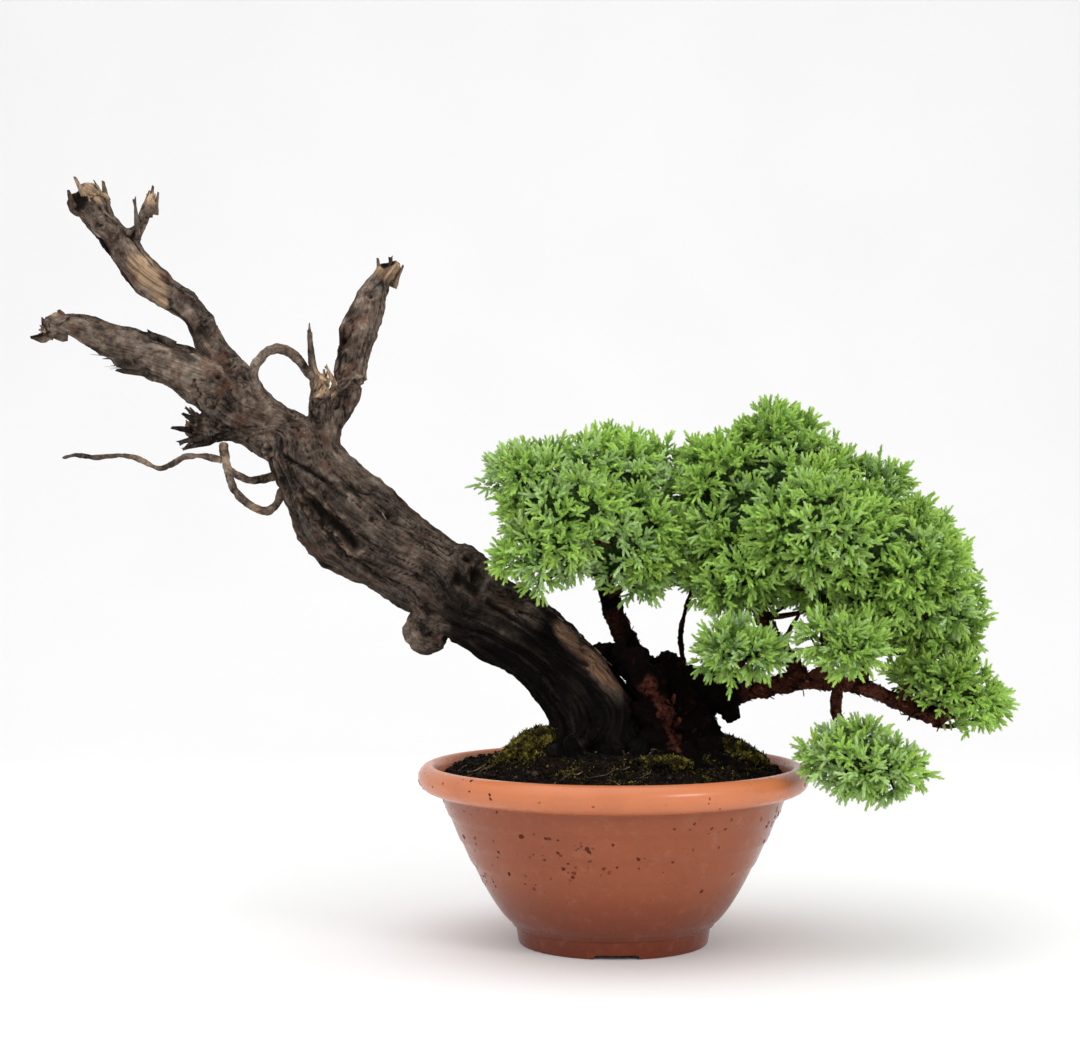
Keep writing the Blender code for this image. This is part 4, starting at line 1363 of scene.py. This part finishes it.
FILLERS = {
    "foliage_left": ((48, -14, 350), (50, 16, 338), (50, -16, 316), (52, 18, 298), (53, -12, 284), (40, 8, 372)),
    "foliage_crown": ((58, 0, 330), (60, -14, 300), (60, 12, 270), (121, 0, 396), (167, 0, 257), (190, -8, 248),
                      (221, 0, 244), (242, 4, 233), (258, 6, 222), (206, 20, 240), (238, -18, 246)),
}
TRIMS = {"foliage_right": ((203, 205, 250, 172, -1), (272, 222, 330, 158, 1))}
PAD_SHADES = {"foliage_low": (0.05, 0.28), "foliage_left": (0.10, 0.16), "foliage_front": (0.0, 0.10),
              "foliage_crown": (-0.14, 0.0), "foliage_right": (0.05, 0.05)}


def past_trim(points, trim, spare=0.0):
    """How far each point lies past a pad's trimmed edge, in metres; negative on the kept side."""
    x_low, z_low, x_high, z_high, side = trim
    low, high = from_axis(x_low, 0, z_low), from_axis(x_high, 0, z_high)
    share = (points[:, 0] - low[0]) / (high[0] - low[0])
    past = side * (points[:, 2] - low[2] - share * (high[2] - low[2]))
    return np.where((share > -0.4 - spare) & (share < 1.0 + spare), past, -1.0)


def finger_stamp(whorls, length, seed):
    """A short thick finger of juniper: whorls of three needles pressed to a shoot."""
    generator = np.random.default_rng(seed)
    deselect_all()
    bpy.ops.mesh.primitive_cone_add(vertices=4, radius1=1.25 * MM, radius2=0, depth=length,
                                    location=(0, 0, length / 2))
    finger = active_piece()
    begin_edit()
    for whorl in range(whorls):
        share = whorl / (whorls - 1)
        lean = 0.60 - 0.32 * share
        for side in range(3):
            turn = math.radians(120 * side + 60 * whorl) + generator.normal(0, 0.15)
            tilt = lean + generator.normal(0, 0.07)
            direction = leaning(tilt, turn)
            long = length * (0.42 - 0.06 * share) * generator.uniform(0.9, 1.15)
            place = Vector((0, 0, length * (0.04 + 0.62 * share))) + direction * long / 2
            add_spike(place, direction, 1.0 * MM, long)
    end_edit()
    fix_transform()
    return Stamp(finger)


def clump_seeds(node, settings, generator):
    """Where the clumps of a pad have their hearts, which way they face and how big they are."""
    spots, facing = surface_samples(node, settings.spacing, generator,
                                    lambda normals: 0.45 + 0.55 * smooth_step(normals[:, 2], -0.8, 0.0))
    low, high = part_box(node)
    outward = unit(spots - np.array((low + high) / 2))
    count = len(spots)
    radii = settings.clump * generator.uniform(0.80, 1.20, count)
    heading = facing * 0.80 + outward * 0.30 + np.array((0, 0, 0.30)) + generator.normal(0, 0.16, (count, 3))
    sink = radii + generator.uniform(-5, 5, count) * MM
    hearts = spots - (facing * 0.6 + unit(heading) * 0.4) * sink[:, None]
    extra = np.array([from_axis(*place) for place in FILLERS.get(node, ())]).reshape(-1, 3)
    leaning = generator.normal(0, 0.3, extra.shape) + np.array((0.2, -0.5, 0.7))
    hearts, heading = np.concatenate([hearts, extra]), np.concatenate([heading, leaning])
    radii = np.concatenate([radii, np.full(len(extra), settings.clump * 1.05)])
    return hearts, unit(heading), radii


def tufts_of(hearts, heading, radii, count, generator):
    """The tufts of every clump: their bases, directions and lengths, spread over a cap."""
    index = np.arange(count)
    height = 1 - (index + 0.5) / count * 1.05
    turn = index * GOLDEN_TURN
    ring = np.sqrt(1 - height ** 2)
    cap = np.stack([ring * np.cos(turn), ring * np.sin(turn), height], axis=1)
    turns = frames_along(heading, generator.uniform(0, ROLL, len(hearts)))
    directions = np.einsum("nij,mj->nmi", turns, cap)
    directions = unit(directions + generator.normal(0, 0.16, directions.shape) + np.array((0, 0, 0.12)))
    lengths = radii[:, None] * generator.uniform(0.50, 0.85, directions.shape[:2])
    lengths *= np.where(generator.random(directions.shape[:2]) < 0.15, 1.5, 1.0)
    bases = hearts[:, None] + directions * (radii * 0.28)[:, None, None]
    clumps = np.repeat(np.arange(len(hearts)), count)
    return bases.reshape(-1, 3), directions.reshape(-1, 3), lengths.ravel(), clumps


def make_pad(node, settings, stamps, material, core):
    """One pad: round clumps of tufts of needle fingers, around a dark inside."""
    generator = np.random.default_rng(settings.seed + sum(map(ord, node)))
    hearts, heading, radii = clump_seeds(node, settings, generator)
    bases, axes, lengths, clumps = tufts_of(hearts, heading, radii, settings.tufts, generator)
    ends = bases + axes * lengths[:, None]
    kept = np.ones(len(bases), bool)
    for trim in TRIMS.get(node, ()):
        kept &= (past_trim(ends, trim) < 0) & (past_trim(bases, trim) < -3 * MM)
    bases, axes, lengths, clumps = bases[kept], axes[kept], lengths[kept], clumps[kept]
    count = len(bases)
    side = unit(np.cross(axes, generator.normal(0, 1, (count, 3))))
    other = np.cross(axes, side)
    steps = ((0.35, 0.80), (0.58, 0.74), (0.76, 0.64), (0.90, 0.50), (1.0, 0.06))
    places, directions = [], []
    for step, (share, lean) in enumerate(steps):
        turn = GOLDEN_TURN * step + generator.normal(0, 0.3, (count, 1))
        tilt = lean + generator.normal(0, 0.10, (count, 1))
        across = side * np.cos(turn) + other * np.sin(turn)
        places.append(bases + axes * (lengths * share)[:, None])
        directions.append(axes * np.cos(tilt) + across * np.sin(tilt))
    places, directions = np.concatenate(places), np.concatenate(directions)
    total = len(places)
    owners = np.tile(clumps, len(steps))
    tops = places + directions * settings.finger * 0.5
    # Painted shade: a needle's "tip" value is lower the nearer it lies to its clump's heart, so each clump is painted
    # darker inside.
    reach = np.linalg.norm(tops - hearts[owners], axis=1) / (radii[owners] + settings.finger * 0.5)
    share = smooth_step(reach, 0.35, 1.05)
    tone = generator.random(len(hearts))[owners] * 0.6 + generator.random(total) * 0.4
    bloom = generator.random(len(hearts))[owners] * 0.6 + generator.random(total) * 0.4
    more_tone, more_bloom = PAD_SHADES.get(node, (0, 0))
    tone += more_tone
    bloom += more_bloom
    turns = frames_along(directions, generator.uniform(0, ROLL, total))
    scale = np.repeat(generator.uniform(0.82, 1.15, (total, 1)), 3, axis=1)
    triangles = total * len(stamps[0].triangles)
    parts = math.ceil(triangles / PIECE_TRIANGLES)
    order = np.argsort(places[:, 0])
    for part in range(parts):
        mine = order[part * total // parts:(part + 1) * total // parts]
        picks = generator.integers(0, len(stamps), len(mine))
        piece, along, copies = stamped(f"{node}_needles_{part + 1}", stamps, picks, places[mine], turns[mine],
                                       scale[mine], {"tone": tone[mine], "bloom": bloom[mine]})
        # The "tip" value: 0.65 of it is that painted shade, 0.35 the real freshening towards a finger's end.
        store(piece, "tip", share[mine][copies] * 0.65 + 0.35 * np.clip(along, 0, 1))
        place_piece(piece, material, [node] if part == 0 else ())
        piece.data.shade_flat()
    inside = fine_copy(node, node + "_inside", INSIDE_VOXEL, 3)
    points, normals = points_of(inside), normals_of(inside)
    shrink = settings.depth * (1 + 0.30 * noise_field(points, 16 * MM, 3))
    points -= normals * shrink[:, None]
    for trim in TRIMS.get(node, ()):
        points[:, 2] -= trim[4] * np.maximum(past_trim(points, trim, 0.5) + 20 * MM, 0)
    move_points(inside, points)
    even_out(inside, INSIDE_VOXEL)
    place_piece(inside, core)
    return hearts, heading, radii


def make_twigs(settings, seeds):
    """The twigs inside the pads, from each pad's branch out to its plumes."""
    generator = np.random.default_rng(settings.seed + 31)
    runs = []
    for node, (bases, heading, lengths) in seeds.items():
        starts = np.concatenate([points_of(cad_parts[branch]) for branch in PADS[node]])
        low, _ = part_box(node)
        starts = starts[starts[:, 2] > low.z - 4 * MM]
        picks = generator.choice(len(bases), min(len(bases), settings.twigs), replace=False)
        for pick in picks:
            tip = bases[pick] + heading[pick] * lengths[pick] * 0.45
            near = starts[np.argsort(np.linalg.norm(starts - tip, axis=1))[:40]]
            start = near[generator.integers(0, len(near))]
            span = np.linalg.norm(tip - start)
            if not 8 * MM < span < 60 * MM:
                continue
            run = []
            sag = generator.normal(0, 0.08, 3) * span
            for step in range(7):
                share = step / 6
                place = start * (1 - share) + tip * share + sag * math.sin(math.pi * share)
                place = place + generator.normal(0, 0.5 * MM, 3) * (0 < step < 6)
                run.append((place, (2.1 - 1.5 * share) * MM * min(1.4, span / (50 * MM) + 0.35)))
            runs.append(run)
    piece = strands("foliage_twigs", runs)
    store(piece, "warm", 0.75 + 0.3 * noise_field(points_of(piece), 12 * MM, 6))
    place_piece(piece, bpy.data.objects["live_trunk_wood"].active_material)


# ---------------------------------------------------------------- stage


def make_stage(settings):
    """A pale seamless sweep, soft light from above, and the camera."""
    bpy.ops.mesh.primitive_plane_add(size=1, location=(0, 0, 0))
    sweep = active_piece()
    sweep.name = "backdrop"
    sweep.scale = (12, 6, 1)
    bpy.ops.object.transform_apply(location=False, rotation=False, scale=True)
    bpy.ops.object.mode_set(mode="EDIT")
    bpy.ops.mesh.select_all(action="DESELECT")
    end_edit()
    for edge in sweep.data.edges:
        edge.select = all(sweep.data.vertices[index].co.y > 2 for index in edge.vertices)
    bpy.ops.object.mode_set(mode="EDIT")
    bpy.ops.mesh.extrude_edges_move(TRANSFORM_OT_translate={"value": (0, 0, 5)})
    end_edit()
    rounding = sweep.modifiers.new("round", "BEVEL")
    rounding.width = 1.6
    rounding.segments = 24
    apply_modifiers(sweep)
    sweep.data.shade_smooth()
    finish = Finish("pale_backdrop", Roughness=0.9, Specular_IOR_Level=0.1)
    speck = finish.noise(finish.place(), 0.6, 2)
    finish.paint("Base Color", finish.mix(finish.between(speck, 0.3, 0.7), (0.88, 0.88, 0.88), (0.90, 0.90, 0.90)))
    sweep.data.materials.append(finish.material)

    bpy.context.scene.view_settings.view_transform = "Standard"
    world = bpy.data.worlds.new("studio")
    bpy.context.scene.world = world
    world.use_nodes = True
    sky = world.node_tree.nodes["Background"]
    sky.inputs["Color"].default_value = (1.0, 1.0, 1.0, 1.0)
    sky.inputs["Strength"].default_value = settings.sky
    lamps = (("key", (-1.1, -1.5, 2.2), 2.8, 2.8, settings.key, (0, 0, 0.25)),
             ("fill", (1.6, -1.7, 1.2), 0.8, 0.4, settings.fill, (0, 0, 0.2)),
             ("top", (0.0, 0.0, 2.3), 2.0, 2.0, settings.top, (0, 0, 0.25)),
             ("backdrop", (0, 1.0, 3.4), 2.6, 2.6, settings.backdrop, (0, 3.0, 0.8)))
    for name, place, wide, deep, power, aim in lamps:
        lamp = bpy.data.lights.new(name, "AREA")
        lamp.shape = "RECTANGLE"
        lamp.size = wide
        lamp.size_y = deep
        lamp.energy = power
        holder = new_piece(name, lamp)
        holder.location = place
        holder.rotation_euler = (Vector(aim) - Vector(place)).to_track_quat("-Z", "Y").to_euler()

    camera = bpy.data.cameras.new("camera")
    camera.sensor_width = 36
    camera.sensor_fit = "HORIZONTAL"
    camera.lens = settings.lens
    camera.shift_y = settings.shift
    holder = new_piece("camera", camera)
    holder.location = settings.camera_place
    holder.rotation_euler = (math.radians(90), 0, 0)
    bpy.context.scene.camera = holder


# ---------------------------------------------------------------- settings


class BONSAI_PG_bowl(bpy.types.PropertyGroup):
    """Sizes and colours of the bowl."""

    wall: FloatProperty(name="Wall", description="Thickness of the bowl's wall", default=3 * MM, unit="LENGTH")
    segments: IntProperty(name="Segments", description="Corners around the bowl", default=160, min=24)
    groups: IntProperty(name="Splashes", description="Groups of soil crumbs stuck on the bowl", default=64)
    seed: IntProperty(name="Seed", description="Seed of the splashes", default=8)
    lip_colour: FloatVectorProperty(name="Lip", description="Colour of the lip", subtype="COLOR",
                                    default=(0.58, 0.185, 0.076))
    wall_colour: FloatVectorProperty(name="Wall colour", description="Colour of the wall", subtype="COLOR",
                                     default=(0.275, 0.070, 0.025))
    # The foot's colour is painted shade: darker than the wall, for the shade where the bowl turns down to its foot.
    foot_shade_colour: FloatVectorProperty(name="Foot", description="Colour near the foot", subtype="COLOR",
                                     default=(0.145, 0.026, 0.008))


class BONSAI_PG_soil(bpy.types.PropertyGroup):
    """Amounts of what lies on the soil."""

    granules: IntProperty(name="Granules", description="Loose granules on the soil", default=4200)
    rootlets: IntProperty(name="Rootlets", description="Thin roots on the soil", default=34)
    seed: IntProperty(name="Seed", description="Seed of the soil and moss", default=4)


class BONSAI_PG_wood(bpy.types.PropertyGroup):
    """Fineness and colours of the woods."""

    voxel: FloatProperty(name="Fineness", description="Mesh size of the dead trunk", default=1.5 * MM,
                         unit="LENGTH")
    seed: IntProperty(name="Seed", description="Seed of splinters and flakes", default=12)
    pale: FloatVectorProperty(name="Pale", description="Weathered wood where it is palest", subtype="COLOR",
                              default=(0.36, 0.29, 0.225))
    middle: FloatVectorProperty(name="Middle", description="Weathered wood", subtype="COLOR",
                                default=(0.078, 0.058, 0.045))
    deep: FloatVectorProperty(name="Deep", description="Weathered wood where it is darkest", subtype="COLOR",
                              default=(0.012, 0.009, 0.007))
    black: FloatVectorProperty(name="Black", description="Living bark, wet and dark", subtype="COLOR",
                               default=(0.0026, 0.0019, 0.0018))
    red: FloatVectorProperty(name="Red", description="Living bark where it peels", subtype="COLOR",
                             default=(0.120, 0.036, 0.023))
    flake: FloatVectorProperty(name="Flake", description="Edges of peeling bark", subtype="COLOR",
                               default=(0.28, 0.12, 0.08))


class BONSAI_PG_foliage(bpy.types.PropertyGroup):
    """Density, sizes and colours of the needles."""

    spacing: FloatProperty(name="Spacing", description="Distance between clumps", default=19.5 * MM, unit="LENGTH")
    clump: FloatProperty(name="Clump", description="Usual radius of a clump", default=15 * MM, unit="LENGTH")
    tufts: IntProperty(name="Tufts", description="Tufts in each clump", default=13)
    finger: FloatProperty(name="Finger", description="Usual length of a finger", default=8.4 * MM, unit="LENGTH")
    depth: FloatProperty(name="Depth", description="Depth of the dark inside", default=19 * MM, unit="LENGTH")
    twigs: IntProperty(name="Twigs", description="Twigs inside each pad", default=90)
    seed: IntProperty(name="Seed", description="Seed of the foliage", default=21)
    young: FloatVectorProperty(name="Young", description="Fresh tips", subtype="COLOR", default=(0.33, 0.52, 0.10))
    full: FloatVectorProperty(name="Full", description="Grown needles", subtype="COLOR",
                              default=(0.13, 0.265, 0.035))
    old: FloatVectorProperty(name="Old", description="Old needles", subtype="COLOR", default=(0.026, 0.068, 0.016))


class BONSAI_PG_stage(bpy.types.PropertyGroup):
    """Light and camera."""

    sky: FloatProperty(name="Sky", description="Strength of the even light", default=0.86)
    key: FloatProperty(name="Key", description="Power of the main light", default=18, unit="POWER")
    fill: FloatProperty(name="Fill", description="Power of the light from the right", default=16, unit="POWER")
    top: FloatProperty(name="Top", description="Power of the light from above", default=13, unit="POWER")
    backdrop: FloatProperty(name="Backdrop", description="Power of the light on the backdrop", default=3,
                            unit="POWER")
    lens: FloatProperty(name="Lens", description="Focal length in millimetres", default=67.0)
    shift: FloatProperty(name="Shift", description="Vertical shift of the view", default=0.0081)
    camera_place: FloatVectorProperty(name="Camera", description="Place of the camera", subtype="TRANSLATION",
                                      unit="LENGTH", default=(0.0057, -1.55, 0.3118))


# ---------------------------------------------------------------- operators


class BONSAI_OT_bowl(bpy.types.Operator):
    """Model the bowl."""

    bl_idname = "bonsai.bowl"
    bl_label = "Bowl"

    def execute(self, context):
        make_bowl(context.scene.bonsai_bowl)
        return {"FINISHED"}


class BONSAI_OT_soil(bpy.types.Operator):
    """Finish the soil with its granules and rootlets, and splash the bowl with it."""

    bl_idname = "bonsai.soil"
    bl_label = "Soil"

    def execute(self, context):
        make_soil(context.scene.bonsai_soil)
        make_splashes(context.scene.bonsai_bowl)
        return {"FINISHED"}


class BONSAI_OT_moss(bpy.types.Operator):
    """Finish the cushions of moss and the shoots around them."""

    bl_idname = "bonsai.moss"
    bl_label = "Moss"

    def execute(self, context):
        make_moss(context.scene.bonsai_soil)
        return {"FINISHED"}


class BONSAI_OT_deadwood(bpy.types.Operator):
    """Finish the dead trunk, its limbs, twigs and torn ends."""

    bl_idname = "bonsai.deadwood"
    bl_label = "Dead wood"

    def execute(self, context):
        make_deadwood(context.scene.bonsai_wood)
        make_splinters(context.scene.bonsai_wood)
        return {"FINISHED"}


class BONSAI_OT_live_wood(bpy.types.Operator):
    """Finish the living trunk, its branches and their peeling bark."""

    bl_idname = "bonsai.live_wood"
    bl_label = "Living wood"

    def execute(self, context):
        make_live_wood(context.scene.bonsai_wood)
        make_flakes(context.scene.bonsai_wood)
        return {"FINISHED"}


class BONSAI_OT_foliage(bpy.types.Operator):
    """Grow the plumes of needles on every pad, and the twigs in it."""

    bl_idname = "bonsai.foliage"
    bl_label = "Foliage"

    def execute(self, context):
        settings = context.scene.bonsai_foliage
        material = needle_finish(*shades_of(settings, "young", "full", "old"))
        core = core_finish()
        shares = (0.88, 1.0, 1.0, 1.14)
        stamps = [finger_stamp(3, settings.finger * share, seed) for seed, share in enumerate(shares)]
        seeds = {node: make_pad(node, settings, stamps, material, core) for node in PADS}
        make_twigs(settings, seeds)
        return {"FINISHED"}


class BONSAI_OT_stage(bpy.types.Operator):
    """Set up the backdrop, the lights and the camera."""

    bl_idname = "bonsai.stage"
    bl_label = "Stage"

    def execute(self, context):
        make_stage(context.scene.bonsai_stage)
        return {"FINISHED"}


class BONSAI_PT_panel(bpy.types.Panel):
    """The bonsai's pieces, in the order they are made."""

    bl_idname = "BONSAI_PT_panel"
    bl_label = "Bonsai"
    bl_space_type = "VIEW_3D"
    bl_region_type = "UI"
    bl_category = "Bonsai"

    def draw(self, context):
        for operator in OPERATORS:
            self.layout.operator(operator.bl_idname)


OPERATORS = (BONSAI_OT_stage, BONSAI_OT_bowl, BONSAI_OT_soil, BONSAI_OT_moss, BONSAI_OT_deadwood,
             BONSAI_OT_live_wood, BONSAI_OT_foliage)
SETTINGS = {
    "bonsai_bowl": BONSAI_PG_bowl,
    "bonsai_soil": BONSAI_PG_soil,
    "bonsai_wood": BONSAI_PG_wood,
    "bonsai_foliage": BONSAI_PG_foliage,
    "bonsai_stage": BONSAI_PG_stage,
}


def register():
    for group in SETTINGS.values():
        bpy.utils.register_class(group)
    for name, group in SETTINGS.items():
        setattr(bpy.types.Scene, name, PointerProperty(type=group))
    for operator in OPERATORS:
        bpy.utils.register_class(operator)
    bpy.utils.register_class(BONSAI_PT_panel)


def unregister():
    bpy.utils.unregister_class(BONSAI_PT_panel)
    for operator in reversed(OPERATORS):
        bpy.utils.unregister_class(operator)
    for name in SETTINGS:
        delattr(bpy.types.Scene, name)
    for group in reversed(SETTINGS.values()):
        bpy.utils.unregister_class(group)


def main():
    register()
    bpy.ops.bonsai.stage()
    bpy.ops.bonsai.bowl()
    bpy.ops.bonsai.soil()
    bpy.ops.bonsai.moss()
    bpy.ops.bonsai.deadwood()
    bpy.ops.bonsai.live_wood()
    bpy.ops.bonsai.foliage()


if __name__ == "__main__":
    main()
